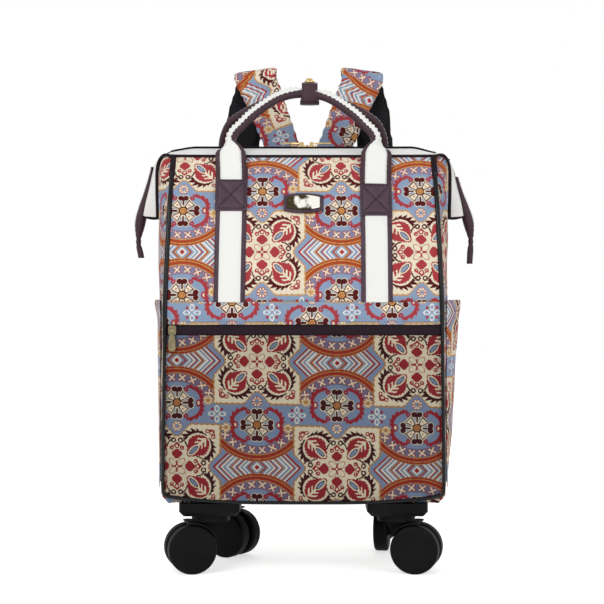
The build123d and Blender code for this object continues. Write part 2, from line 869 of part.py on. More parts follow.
with BuildPart() as trolley_bezel:
    with BuildSketch(Plane.XY.offset(bezel_low)):
        with Locations((0, trolley_y)):
            RectangleRounded(2 * trolley_half - 2 * soft_gap, trolley_depth - 2 * soft_gap, bezel_corner)
        with Locations((-tube_x, trolley_y), (tube_x, trolley_y)):
            Rectangle(middle_width + 2 * slide_gap, middle_depth + 2 * slide_gap, mode=Mode.SUBTRACT)
    extrude(amount=bezel_high - bezel_low)
finish(trolley_bezel, "trolley_bezel")

grip_depth = trolley_depth - grip_slim
grip_foot = tube_x - grip_shoulder
grip_side_z = grip_high - grip_round
with BuildPart() as trolley_grip:
    with BuildSketch(Plane.XZ.offset(-trolley_y - grip_depth / 2)):
        with BuildLine():
            Line((-grip_half, grip_low), (-grip_foot, grip_low))
            ThreePointArc((-grip_foot, grip_low), (0, grip_low + grip_arch), (grip_foot, grip_low))
            Polyline((grip_foot, grip_low), (grip_half, grip_low), (grip_half, grip_side_z))
            ThreePointArc((grip_half, grip_side_z), (0, grip_high), (-grip_half, grip_side_z))
            Line((-grip_half, grip_side_z), (-grip_half, grip_low))
        make_face()
    extrude(amount=grip_depth)
    fillet(trolley_grip.edges().filter_by(Axis.Z), grip_edge)
    with BuildSketch(Plane.XY.offset(grip_low)):
        with Locations((-tube_x, trolley_y), (tube_x, trolley_y)):
            Rectangle(inner_width + 2 * socket_play, inner_depth + 2 * socket_play)
    extrude(amount=socket_deep, mode=Mode.SUBTRACT)
    button_floor = grip_high + button_proud - button_high - button_travel - button_clear
    with BuildSketch(Plane.XY.offset(button_floor)):
        with Locations((0, trolley_y)):
            RectangleRounded(button_length + 2 * slide_gap, button_width + 2 * slide_gap, button_corner)
    extrude(amount=grip_high - button_floor + button_proud, mode=Mode.SUBTRACT)
finish(trolley_grip, "trolley_grip")

with BuildPart() as trolley_button:
    with BuildSketch(Plane.XY.offset(grip_high + button_proud - button_high)):
        with Locations((0, trolley_y)):
            RectangleRounded(button_length, button_width, button_corner)
    extrude(amount=button_high)
    fillet(trolley_button.faces().sort_by(Axis.Z)[-1].edges(), button_edge)
finish(trolley_button, "trolley_button")

# Caster housings under the tray hold the kingpins; screws go up through them into the tray
chamber_low = housing_low + housing_floor
with BuildPart() as caster_housings:
    with BuildSketch(Plane.XY.offset(housing_low)):
        with Locations(*housing_spots.values()):
            RectangleRounded(housing_width, housing_depth, housing_corner)
    extrude(amount=base_z - housing_low)
    chamfer(caster_housings.faces().filter_by(Plane.XY).group_by(Axis.Z)[0].edges(), housing_chamfer)
    with BuildSketch(Plane.XY.offset(housing_low)):
        with Locations(*housing_spots.values()):
            Circle(kingpin_r + run_gap)
        with Locations(*screw_spots):
            Circle(screw_r + run_gap)
    extrude(amount=base_z - housing_low, mode=Mode.SUBTRACT)
    with BuildSketch(Plane.XY.offset(chamber_low)):
        with Locations(*housing_spots.values()):
            Circle(kingpin_head_r + kingpin_clear)
    extrude(amount=base_z - chamber_low, mode=Mode.SUBTRACT)
    with BuildSketch(Plane.XY.offset(housing_low)):
        with Locations(*screw_spots):
            Circle(screw_head_r + slide_gap)
    extrude(amount=screw_head_high + screw_sink + 2 * run_gap, mode=Mode.SUBTRACT)
finish(caster_housings, "caster_housings")

screw_seat = housing_low + screw_head_high + screw_sink
with BuildPart() as caster_screws:
    with BuildSketch(Plane.XY.offset(screw_seat - screw_head_high)):
        with Locations(*screw_spots):
            Circle(screw_head_r)
    extrude(amount=screw_head_high)
    with BuildSketch(Plane.XY.offset(screw_seat)):
        with Locations(*screw_spots):
            Circle(screw_r)
    extrude(amount=tray_top - screw_short - screw_seat)
finish(caster_screws, "caster_screws")

# Each fork turns on its kingpin and trails behind it; the two wheels turn on the axle through its web
wheel_inner = web_thick / 2 + wheel_side_gap
wheel_outer = wheel_inner + wheel_width
bore_deep = wheel_width - wheel_cap
axle_half = wheel_inner + bore_deep - slide_gap
shroud_in_r = wheel_r + shroud_gap
shroud_out_r = shroud_in_r + shroud_thick
for spot, (pivot_x, pivot_y) in housing_spots.items():
    heading = math.radians(headings[spot])
    trailing = Vector(math.cos(heading), math.sin(heading), 0)
    across = Vector(-math.sin(heading), math.cos(heading), 0)
    hub = Vector(pivot_x, pivot_y, wheel_r) + trailing * trail
    axle_plane = Plane(origin=hub, x_dir=trailing * -1, z_dir=across)

    with BuildPart() as fork:
        with BuildSketch(Plane.XY.offset(turntable_low)):
            with Locations((pivot_x, pivot_y)):
                Circle(turntable_r)
        extrude(amount=housing_low - turntable_gap - turntable_low)
        with BuildSketch(Plane.XY.offset(turntable_low)):
            with Locations((pivot_x, pivot_y)):
                Circle(kingpin_r)
        extrude(amount=chamber_low + slide_gap + kingpin_head_high / 2 - turntable_low)
        with BuildSketch(Plane.XY.offset(chamber_low + slide_gap)):
            with Locations((pivot_x, pivot_y)):
                Circle(kingpin_head_r)
        extrude(amount=kingpin_head_high)
        with BuildSketch(axle_plane.offset(-web_thick / 2)):
            Circle(hub_r)
            with Locations((trail, turntable_low - wheel_r + web_bite / 2)):
                Rectangle(web_share * 2 * turntable_r, web_bite)
            make_hull()
        extrude(amount=web_thick)
        with BuildSketch(axle_plane.offset(shroud_short - wheel_outer)):
            with BuildLine():
                inside = CenterArc((0, 0), shroud_in_r, shroud_from, shroud_sweep)
                outside = CenterArc((0, 0), shroud_out_r, shroud_from, shroud_sweep)
                Line(inside @ 0, outside @ 0)
                Line(inside @ 1, outside @ 1)
            make_face()
        extrude(amount=2 * (wheel_outer - shroud_short))
        with BuildSketch(axle_plane):
            Circle(axle_r)
        extrude(amount=web_thick, both=True, mode=Mode.SUBTRACT)
    finish(fork, f"fork_{spot}")

    with BuildPart() as axle:
        with BuildSketch(axle_plane):
            Circle(axle_r - axle_press)
        extrude(amount=axle_half, both=True)
    finish(axle, f"axle_{spot}")

    for name, way in (("near", -1), ("far", 1)):
        with BuildPart() as wheel:
            with BuildSketch(axle_plane.offset(way * wheel_inner)):
                Circle(wheel_r)
            extrude(amount=way * wheel_width)
            fillet(wheel.edges().filter_by(GeomType.CIRCLE), wheel_round)
            with BuildSketch(axle_plane.offset(way * wheel_inner)):
                Circle(axle_r + run_gap)
            extrude(amount=way * bore_deep, mode=Mode.SUBTRACT)
        finish(wheel, f"wheel_{spot}_{name}")
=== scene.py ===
import ast
import math

import bmesh
import bpy
import numpy as np
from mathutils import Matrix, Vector, noise


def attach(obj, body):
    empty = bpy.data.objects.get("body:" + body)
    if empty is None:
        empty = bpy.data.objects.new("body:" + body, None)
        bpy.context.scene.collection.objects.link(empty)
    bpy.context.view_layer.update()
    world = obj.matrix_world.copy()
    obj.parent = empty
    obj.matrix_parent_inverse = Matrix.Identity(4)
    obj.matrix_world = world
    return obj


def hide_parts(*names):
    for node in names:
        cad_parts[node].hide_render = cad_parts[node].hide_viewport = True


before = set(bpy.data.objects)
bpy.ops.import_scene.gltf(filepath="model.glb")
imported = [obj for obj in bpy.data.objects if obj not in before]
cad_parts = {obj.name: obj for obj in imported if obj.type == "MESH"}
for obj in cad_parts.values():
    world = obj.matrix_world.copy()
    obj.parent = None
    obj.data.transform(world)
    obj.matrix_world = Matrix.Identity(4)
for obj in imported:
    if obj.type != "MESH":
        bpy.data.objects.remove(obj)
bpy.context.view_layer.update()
print("frame loaded")

mm = 0.001  # shapes are worked out in millimetres, as the model's source is


# Adds one node, with its settings and its inputs: a socket is joined, anything else is a value
def addNode(tree, kind, inputs=None, **settings):
    node = tree.nodes.new(kind)
    for name, value in settings.items():
        setattr(node, name, value)
    for socket, value in (inputs or {}).items():
        if isinstance(value, bpy.types.NodeSocket):
            tree.links.new(value, node.inputs[socket])
        else:
            node.inputs[socket].default_value = value
    return node


# sRGB hex text to the linear colour that nodes use
def hexColour(text):
    shares = [int(text[i:i + 2], 16) / 255 for i in (1, 3, 5)]
    return [s / 12.92 if s <= 0.04045 else ((s + 0.055) / 1.055) ** 2.4 for s in shares] + [1.0]


mathNames = {
    "Add": "ADD", "Sub": "SUBTRACT", "Mult": "MULTIPLY", "Div": "DIVIDE", "Lt": "LESS_THAN", "Gt": "GREATER_THAN",
    "And": "MINIMUM", "min": "MINIMUM", "max": "MAXIMUM", "abs": "ABSOLUTE", "floor": "FLOOR",
    "fract": "FRACT", "sqrt": "SQRT", "sin": "SINE", "atan2": "ARCTAN2", "pingpong": "PINGPONG",
}


# Writes a formula out as Math nodes. A name in it is a socket, a number or another formula's text,
# which is written where it is first used.
def writeFormula(tree, text, known):
    def write(part):
        if isinstance(part, ast.Constant):
            return float(part.value)
        if isinstance(part, ast.Name):
            if isinstance(known[part.id], str):
                known[part.id] = writeFormula(tree, known[part.id], known)
            return known[part.id]
        if isinstance(part, ast.UnaryOp):
            return addNode(tree, "ShaderNodeMath", {0: write(part.operand), 1: -1.0}, operation="MULTIPLY").outputs[0]
        if isinstance(part, ast.Call):
            name, values = part.func.id, [write(value) for value in part.args]
        elif isinstance(part, ast.BinOp):
            name, values = type(part.op).__name__, [write(part.left), write(part.right)]
        elif isinstance(part, ast.Compare):
            name, values = type(part.ops[0]).__name__, [write(part.left), write(part.comparators[0])]
        else:
            name, values = type(part.op).__name__, [write(value) for value in part.values]
        if name == "hypot":
            joined = addNode(tree, "ShaderNodeCombineXYZ", {0: values[0], 1: values[1]}).outputs[0]
            return addNode(tree, "ShaderNodeVectorMath", {0: joined}, operation="LENGTH").outputs[1]
        if name == "where":
            return addNode(tree, "ShaderNodeMix", {0: values[0], 3: values[1], 2: values[2]}).outputs[0]
        answer = values[0]
        for value in values[1:] or [None]:
            inputs = {0: answer} if value is None else {0: answer, 1: value}
            answer = addNode(tree, "ShaderNodeMath", inputs, operation=mathNames[name]).outputs[0]
        return answer
    return write(ast.parse(text).body[0].value)


def newMaterial(name):
    material = bpy.data.materials.new(name)
    material.use_nodes = True
    material.node_tree.nodes.clear()
    return material, material.node_tree


# Ends a material: its dark and light colours mixed by share, its relief as (height, strength, metres deep) or
# None, and the settings of its surface
def endMaterial(material, share, colours, relief, settings):
    tree = material.node_tree
    dark, light = [hexColour(text) for text in colours]
    shade = addNode(tree, "ShaderNodeMix", {0: share, 6: dark, 7: light}, data_type="RGBA").outputs[2]
    inputs = {"Base Color": shade, **settings}
    if relief:
        height, strength, deep = relief
        inputs["Normal"] = addNode(tree, "ShaderNodeBump", {
            "Height": height, "Strength": strength, "Distance": deep}).outputs[0]
    surface = addNode(tree, "ShaderNodeBsdfPrincipled", inputs)
    addNode(tree, "ShaderNodeOutputMaterial", {0: surface.outputs[0]})
    return material


# The woven pattern is a traditional carpet layout: cream panels with four leaves, blue grounds with round
# medallions inside banded arcs, and chevrons between them. x, y and far are counted in drawing units.
tapestryLook = {
    "unit": 1.143,        # mm in one drawing unit; the pattern repeats every 160 of them, 183 mm
    "thread": 0.7,        # mm between threads, which steps the outlines as a jacquard loom does
    "sheen": 0.05,
    "roughness": 0.88,
    "bright": {
        "blue": "#8FA3C0", "dusk": "#8884A2", "cream": "#EFE2CA", "white": "#EAE9E4", "red": "#AE3E44",
        "maroon": "#561A1C", "rust": "#AF4A2A", "gold": "#CF9C5C",
    },
    # deep: the same colours made darker for the front pocket, as painted shade
    "deep": {
        "blue": "#66758D", "dusk": "#5B566B", "cream": "#BFB49C", "white": "#BAB7AB", "red": "#7B2027",
        "maroon": "#320D14", "rust": "#7E261C", "gold": "#93693B",
    },
}

# Places in the pattern, each worked out from ones before it: columns 80 units apart, mirrored every 108.5 units up.
# arc is measured from the arcs' centre at 50.4, oval and bloom from the medallion's at 65, m, n, a and b from the
# cream panel's corner.
tapestryValues = {
    "u": "(floor(across / thread) + 0.5) * thread / unit",
    "v": "(floor(along / thread) + 0.5) * thread / unit",
    "column": "floor(u / 80 + 0.5)",
    "x": "abs(u - 80 * column)",
    "y": "pingpong(v + 108.5 * column, 108.5)",
    "far": "108.5 - y",
    "arc": "hypot(x, y - 50.4)",
    "step": "(fract(atan2(x, y - 50.4) / 0.2586) - 0.5) * 10.5",
    "stroke": "max(abs(step), abs(arc - 40.6))",
    "cross": "abs(abs(step) - abs(arc - 40.6))",
    "p": "abs(y - 65)",
    "oval": "hypot(x / 26, p / 18) - 0.0005 * x * p",
    "turn": "fract(atan2(p * 1.44, x) * 4.4)",
    "pa": "(x + p) * 0.7071 - 8.2",
    "pb": "abs((x - p) * 0.7071)",
    "tip": "max(x, p)",
    "beside": "min(x, p)",
    "club": "min(hypot(tip - 13.8, beside - 2.6) - 2.9, max(beside - 1, tip - 13))",
    "wedge": "max(abs(pa) - 3.4, pb - 1.2 - 0.3 * (pa + 3.4))",
    "bloom": "min(club, min(hypot(x, p) - 4.2, wedge - 1.1))",
    "fm": "max(40 - x, abs(y - 54.25))",
    "fn": "min(40 - x, abs(y - 54.25))",
    "rose": "hypot(x, y - 41)",
    "petal": "abs(sin(atan2(x, y - 41) * 4))",
    "gilt": "hypot(x - 31, y - 68)",
    "giltPetal": "abs(sin(atan2(x - 31, y - 68) * 4))",
    "riseX": "min(max(x - 1.5, 0) / 12.5, 1)",
    "riseY": "min(max(y - 1.5, 0) / 14, 1)",
    "riseFar": "min(max(far - 1.5, 0) / 14, 1)",
    "ogeeX": "31 + 12.4 * riseX * (0.4 + 1.8 * riseX - 1.2 * riseX * riseX)",
    "ogeeY": "32 + 11.2 * riseY * (0.4 + 1.8 * riseY - 1.2 * riseY * riseY)",
    "ogeeFar": "32 + 11.2 * riseFar * (0.4 + 1.8 * riseFar - 1.2 * riseFar * riseFar)",
    "inside": "max(min(ogeeX - y, ogeeY - x), min(ogeeFar - 80 + x, 43 - far)) + 0.4 * sin((x + y) * 1.1)",
    "m": "max(x, y)",
    "n": "min(x, y)",
    "a": "(m + n) * 0.7071",
    "b": "(m - n) * 0.7071",
    "s": "(a - 14.5) / 27.5",
    "leaf": "22.5 * sqrt(max(s - s * s, 0)) * min(0.45 + 1.2 * s, 1.05)",
    "ring": "hypot(a - 29.5, b)",
    "fringe": "fract(atan2(b, a - 29.5) * 3.4)",
}

# Colours of the bands by distance from the chevrons' centre, and from the arcs' centre
chevronStops = [
    (0, "red"), (2.8, "white"), (5, "blue"), (7.3, "gold"), (8, "rust"), (10, "blue"), (12, "white"), (14.2, "blue"),
    (16.7, "white"), (18.8, "red"), (20.8, "blue"), (22.6, "white"), (24.4, "rust"), (26.2, "gold"), (27.2, "blue"),
    (29, "white"), (31.5, "blue"), (34, "white"), (36.1, "rust"), (38.2, "blue"), (40, "white"), (41.7, "red"),
    (44.2, "blue"),
]
arcStops = [(0, "blue"), (44.6, "gold"), (45.6, "rust"), (48.8, "gold"), (49.7, "rust"), (51.4, "gold")]

# Each layer covers the ones before it where its formula holds
tapestryLayers = [
    ("arc", arcStops, "y > -1"),
    ("where(y < 54, 80 - x + y, x + far)", chevronStops, "arc > 52.2"),
    ("dusk", "abs(arc - 40.2) < 4.4 and y > 67"),
    ("red", "stroke < 3.9 and cross < 1.9 and y > 68"),
    ("cream", "stroke < 3.3 and cross < 0.95 and y > 68"),
    ("red", "oval > 0.862 and oval < 0.97 + 0.085 * turn and x > 9.5"),
    ("red", "abs(hypot(x - 8.8, p - 13.6) - 1.6) < 1"),
    ("red", "hypot((x - 21.8) / 2.8, p / 4) < 1"),
    ("cream", "hypot((x - 21.6) / 1.1, p / 1.9) < 1"),
    ("cream", "bloom < 0.6"),
    ("maroon", "bloom < 0"),
    ("cream", "wedge < 0"),
    ("gold", "hypot(x, p) < 3.3"),
    ("rust", "abs(hypot(x, p) - 1.6) < 0.35"),
    ("cream", "hypot(tip - 5.2, beside) < 0.9"),
    ("rust", "hypot(pa - 0.4, pb) < 0.8"),
    ("white", "abs(hypot((fm - 5.3) / 3.5, fn / 2.3) - 0.82) < 0.24"),
    ("red", "hypot(fm - 4.8, fn - 4.8) < 1.5"),
    ("red", "rose < 4.4 + 1.3 * petal"),
    ("cream", "rose < 3.7 + 1.3 * petal and petal * rose > 1.6"),
    ("blue", "rose < 1.8"),
    ("gold", "gilt < 4.2 + 1.1 * giltPetal"),
    ("cream", "gilt < 3.3 + 1.1 * giltPetal and giltPetal * gilt > 1.5"),
    ("gold", "gilt < 1.8"),
    ("cream", "inside > 0"),
    ("gold", "abs(inside) < 0.8"),
    ("rust", "abs(hypot((a - 6) / 5, b / 3) - 0.88) < 0.08"),
    ("red", "max(n - 0.6, m - 6) < 0 and m > 1"),
    ("red", "abs(m - 12.6) / 6.2 + n / 6.4 < 1 + 0.09 * sin((m + n) * 2.4) and max(abs(m - 12.6), n) < 5.4"),
    ("white", "hypot(m - 7.3, n) < 0.9"),
    ("red", "abs(hypot(m - 18.8, n - 5.2) - 1.6) < 0.6"),
    ("red", "abs(m - 24.2 + 0.9 * n) < 0.75 and n < 6.2"),
    ("red", "abs(hypot(m - 20.7, n) - 1.9) < 0.6"),
    ("maroon", "abs(hypot(m - 26.6, n - 3.6) - 2) < 0.75"),
    ("maroon", "abs(hypot(m - 18.6, n) - 10.2) < 0.75 and m > 19.5 and n > 4"),
    ("maroon", "ring > 13.3 and ring < 14 + b * (0.13 + 0.2 * fringe) and b > 1.5 and a > 24.5"),
    ("red", "b < leaf - 1.2 * fringe"),
    ("cream", "abs(a + 0.9 * b - 39.6) < 1.2 and b < 5.8"),
    ("cream", "abs(a + 0.9 * b - 34.8) < 1 and b < 4.8"),
    ("cream", "b < 1.2 and a > 28 and a < 39"),
    ("cream", "hypot((a - 23.4) / 7.2, b / 3.6) < 1"),
    ("maroon", "hypot((a - 23.6) / 5.8, b / 2.3) < 1"),
    ("blue", "hypot((a - 23.6) / 4.8, b / 1.6) < 1"),
    ("red", "abs(hypot(a - 47.2, b - 4.2) - 1.6) < 0.6"),
    ("red", "abs(a + 0.8 * b - 52.4) < 0.75 and b < 5.4"),
    ("red", "abs(hypot(a - 48.8, b) - 1.9) < 0.6"),
]


# Jacquard: cotton and polyester threads of several colours woven into the pattern, matt with a soft bloom.
# The eye sees stepped outlines, flecks of the threads beneath and a fine ribbed relief, with painted shade between the
# threads.
def jacquard(name, palette):
    material, tree = newMaterial(name)
    cloth = addNode(tree, "ShaderNodeUVMap", uv_map="cloth").outputs[0]
    split = addNode(tree, "ShaderNodeSeparateXYZ", {0: cloth})
    known = dict(tapestryValues, across=split.outputs[0], along=split.outputs[1],
                 thread=tapestryLook["thread"], unit=tapestryLook["unit"])
    colours = {key: hexColour(text) for key, text in palette.items()}
    woven = colours["blue"]
    for layer in tapestryLayers:
        if len(layer) == 3:
            distance = writeFormula(tree, layer[0], known)
            share = addNode(tree, "ShaderNodeMath", {0: distance, 1: 60.0}, operation="DIVIDE").outputs[0]
            ramp = addNode(tree, "ShaderNodeValToRGB", {0: share})
            ramp.color_ramp.interpolation = "CONSTANT"
            for i, (at, key) in enumerate(layer[1]):
                stop = ramp.color_ramp.elements[i] if i < 2 else ramp.color_ramp.elements.new(at / 60)
                stop.position = at / 60
                stop.color = colours[key]
            top = ramp.outputs[0]
        else:
            top = colours[layer[0]]
        mask = writeFormula(tree, layer[-1], known)
        woven = addNode(tree, "ShaderNodeMix", {0: mask, 6: woven, 7: top}, data_type="RGBA").outputs[2]
    # flecks: threads of the colours beneath show through, about 1 mm apart
    fleck = addNode(tree, "ShaderNodeTexNoise", {"Vector": cloth, "Scale": 0.9, "Detail": 2.0}).outputs[0]
    drift = addNode(tree, "ShaderNodeTexNoise", {"Vector": cloth, "Scale": 0.02, "Detail": 1.0}).outputs[0]
    known.update(fleck=fleck, drift=drift)
    rib = writeFormula(tree, "abs(sin(across / thread * 3.1416)) * abs(sin(along / thread * 3.1416))", known)
    known["rib"] = rib
    # light: flecks and a slow drift of tone, and the rib's painted shade between the threads
    light = writeFormula(tree, "0.62 + 0.4 * fleck + 0.14 * drift + 0.1 * rib", known)
    shade = addNode(tree, "ShaderNodeVectorMath", {0: woven, 3: light}, operation="SCALE").outputs[0]
    relief = addNode(tree, "ShaderNodeBump", {"Height": rib, "Strength": 0.5, "Distance": 0.00015}).outputs[0]
    surface = addNode(tree, "ShaderNodeBsdfPrincipled", {
        "Base Color": shade, "Roughness": tapestryLook["roughness"], "Normal": relief, "IOR": 1.53,
        "Sheen Weight": tapestryLook["sheen"], "Sheen Roughness": 0.5, "Specular IOR Level": 0.12,
    })
    addNode(tree, "ShaderNodeOutputMaterial", {0: surface.outputs[0]})
    return material


trimLook = {
    "webbing": "#F1F1EE", "webbingShade": "#D9D9D6", "webbingRib": 1.5,       # mm from rib to rib
    "blackWebbing": "#0E0E10", "plum": "#57434E", "plumDark": "#412F3A", "grain": 0.8,  # mm across a leather cell
    "rolled": "#4C353E", "rollShadeDark": "#39272F",   # a darker, redder copy of the plum leather: painted shade on the handles' roll, the wrap and the tabs
    "piping": "#0E0E0F", "zipTape": "#140F13", "zipCoil": "#191217", "meshHoleShade": "#0A0A0B", "meshHole": 2.6,  # mm apart
    "gold": "#D9C08C", "goldDark": "#B99C63", "plate": "#FAF7EE", "plateReflectionDark": "#453E2B",
    # the pocket's slider and pull: the gold made darker, a painted reflection of dark surroundings
    "paintedDarkGold": "#A79A78", "paintedDarkGoldDeep": "#5E553F",
    "threadPlum": "#22151D", "threadDark": "#15131A",
}


# Polyester webbing, woven in ribs across its length: near white and matt, with painted shade making it grey in the
# furrows
def wovenWebbing(name, light, dark, ribSize):
    material, tree = newMaterial(name)
    cloth = addNode(tree, "ShaderNodeUVMap", uv_map="cloth").outputs[0]
    split = addNode(tree, "ShaderNodeSeparateXYZ", {0: cloth})
    known = {"across": split.outputs[0], "along": split.outputs[1], "rib": ribSize}
    known["ribs"] = writeFormula(tree, "abs(sin((along + across * 0.35) / rib * 3.1416))", known)
    height = writeFormula(tree, "ribs * 0.7 + 0.3 * abs(sin(across / rib * 6.2832))", known)
    wear = addNode(tree, "ShaderNodeTexNoise", {"Vector": cloth, "Scale": 0.08, "Detail": 3.0}).outputs[0]
    known.update(height=height, wear=wear)
    # darker in the furrows as painted shade; the wear noise varies the tone
    share = writeFormula(tree, "min(0.45 + 0.5 * height + 0.25 * wear, 1)", known)
    return endMaterial(material, share, (dark, light), (height, 0.5, 0.0002), {
        "Roughness": 0.8, "IOR": 1.53, "Sheen Weight": 0.15, "Specular IOR Level": 0.3})


# Fine-grained leather, drum dyed and lightly finished: small pebbles, a soft highlight, cloudy dye
def grainLeather(name, light, dark):
    material, tree = newMaterial(name)
    place = addNode(tree, "ShaderNodeTexCoord").outputs["Object"]
    cells = addNode(tree, "ShaderNodeTexVoronoi", {"Vector": place, "Scale": 1 / (trimLook["grain"] * mm)},
                    feature="DISTANCE_TO_EDGE").outputs[0]
    cloud = addNode(tree, "ShaderNodeTexNoise", {"Vector": place, "Scale": 60.0, "Detail": 4.0}).outputs[0]
    known = {"cells": cells, "cloud": cloud}
    height = writeFormula(tree, "min(cells * 3, 1) * 0.7 + cloud * 0.6", known)
    known["height"] = height
    share = writeFormula(tree, "min(max(height * 0.9 - 0.15 + (cloud - 0.5) * 0.8, 0), 1)", known)
    rough = writeFormula(tree, "0.52 - 0.12 * cloud", known)
    return endMaterial(material, share, (dark, light), (height, 0.35, 0.00025), {
        "Roughness": rough, "IOR": 1.5, "Specular IOR Level": 0.22})


# Vinyl pulled over a cord: smooth and wet-looking, with faint waves along it
def glossVinyl(name, colour):
    material, tree = newMaterial(name)
    place = addNode(tree, "ShaderNodeTexCoord").outputs["Object"]
    waves = addNode(tree, "ShaderNodeTexNoise", {"Vector": place, "Scale": 90.0, "Detail": 2.0}).outputs[0]
    dust = addNode(tree, "ShaderNodeTexNoise", {"Vector": place, "Scale": 700.0, "Detail": 3.0}).outputs[0]
    known = {"waves": waves, "dust": dust}
    rough = writeFormula(tree, "0.16 + 0.12 * dust", known)
    tone = writeFormula(tree, "0.3 + 0.5 * waves", known)
    return endMaterial(material, tone, ("#0B0B0C", colour), (waves, 0.25, 0.0006), {
        "Roughness": rough, "IOR": 1.53, "Specular IOR Level": 0.2})


# Polyester twill tape: dark, matt, with fine diagonal lines 0.6 mm apart, lighter on the lines as a painted highlight
def twillTape(name, colour, lift):
    material, tree = newMaterial(name)
    place = addNode(tree, "ShaderNodeTexCoord").outputs["Object"]
    split = addNode(tree, "ShaderNodeSeparateXYZ", {0: place})
    known = {"x": split.outputs[0], "y": split.outputs[1], "z": split.outputs[2]}
    known["twill"] = writeFormula(tree, "abs(sin((x + y + z) * 5236))", known)
    fuzz = addNode(tree, "ShaderNodeTexNoise", {"Vector": place, "Scale": 400.0, "Detail": 3.0}).outputs[0]
    known["fuzz"] = fuzz
    # tone: towards the lift colour on the twill lines as a painted highlight, and with the fibres' fuzz
    tone = writeFormula(tree, "0.55 * twill + 0.6 * fuzz", known)
    return endMaterial(material, tone, (colour, lift), (tone, 0.4, 0.00015), {
        "Roughness": 0.7, "IOR": 1.53, "Sheen Weight": 0.01, "Specular IOR Level": 0.08})


# Spacer mesh: knitted polyester with open holes over foam, black and dry, the holes darker than the knit as painted
# shade
def spacerMesh(name, colour):
    material, tree = newMaterial(name)
    place = addNode(tree, "ShaderNodeTexCoord").outputs["Object"]
    cells = addNode(tree, "ShaderNodeTexVoronoi", {
        "Vector": place, "Scale": 1 / (trimLook["meshHole"] * mm), "Randomness": 0.15}).outputs[0]
    known = {"cells": cells}
    # hole: painted shade, darkest in the middle of each hole
    hole = writeFormula(tree, "min(max((0.55 - cells) * 5, 0), 1)", known)
    return endMaterial(material, hole, ("#242427", colour), (cells, 0.7, 0.0006), {
        "Roughness": 0.92, "IOR": 1.5, "Sheen Weight": 0.03, "Specular IOR Level": 0.1})


# Polished plate: a painted reflection of soft-edged dark and light fields like a mirrored room, under a hard clear
# shine
def mirrorPlate(name, light, dark):
    material, tree = newMaterial(name)
    place = addNode(tree, "ShaderNodeTexCoord").outputs["Object"]
    split = addNode(tree, "ShaderNodeSeparateXYZ", {0: place})
    field = addNode(tree, "ShaderNodeTexNoise", {"Vector": place, "Scale": 70.0, "Detail": 2.5}).outputs[0]
    known = {"x": split.outputs[0], "z": split.outputs[2], "field": field}
    # painted reflection: darker towards the left and the bottom, with soft blotches
    known["share"] = writeFormula(tree, "(field - 0.5) * 9 + x * 105 + min((z - 0.4245) * 400, 0.6) + 0.6", known)
    share = writeFormula(tree, "max(min(share, 1), 0)", known)
    return endMaterial(material, share, (dark, light), None, {
        "Metallic": 1.0, "Roughness": 0.08})


# Zinc alloy with thin plating, polished: a mirror under a light haze of handling
def goldPlating(name, light, dark):
    material, tree = newMaterial(name)
    place = addNode(tree, "ShaderNodeTexCoord").outputs["Object"]
    haze = addNode(tree, "ShaderNodeTexNoise", {"Vector": place, "Scale": 180.0, "Detail": 5.0}).outputs[0]
    rough = writeFormula(tree, "0.07 + 0.12 * haze", {"haze": haze})
    return endMaterial(material, haze, (dark, light), (haze, 0.03, 0.0004), {
        "Metallic": 1.0, "Roughness": rough})


# Moulded plastic or rubber: a fine spark-eroded texture with paler scuffs
def mouldedPlastic(name, colour, pale, roughness, texture):
    material, tree = newMaterial(name)
    place = addNode(tree, "ShaderNodeTexCoord").outputs["Object"]
    grit = addNode(tree, "ShaderNodeTexNoise", {"Vector": place, "Scale": 1 / (texture * mm), "Detail": 3.0}).outputs[0]
    scuff = addNode(tree, "ShaderNodeTexNoise", {"Vector": place, "Scale": 35.0, "Detail": 6.0}).outputs[0]
    known = {"grit": grit, "scuff": scuff, "rough": roughness}
    tone = writeFormula(tree, "max(scuff * 1.6 - 0.6, 0) + 0.2 * grit", known)
    worn = writeFormula(tree, "rough + 0.12 * (scuff - 0.5) + 0.06 * grit", known)
    return endMaterial(material, tone, (colour, pale), (grit, 0.3, 0.0001), {
        "Roughness": worn, "IOR": 1.5, "Specular IOR Level": 0.07})


# Metal drawn through a die: fine lines run along it, satin after anodising or zinc plating
def drawnMetal(name, light, dark, roughness):
    material, tree = newMaterial(name)
    place = addNode(tree, "ShaderNodeTexCoord").outputs["Object"]
    stretched = addNode(tree, "ShaderNodeVectorMath", {0: place, 1: (2500.0, 2500.0, 12.0)},
                        operation="MULTIPLY").outputs[0]
    lines = addNode(tree, "ShaderNodeTexNoise", {"Vector": stretched, "Scale": 1.0, "Detail": 2.0}).outputs[0]
    rough = writeFormula(tree, "rough + 0.15 * (lines - 0.5)", {"lines": lines, "rough": roughness})
    return endMaterial(material, lines, (dark, light), (lines, 0.08, 0.0001), {
        "Metallic": 1.0, "Roughness": rough})


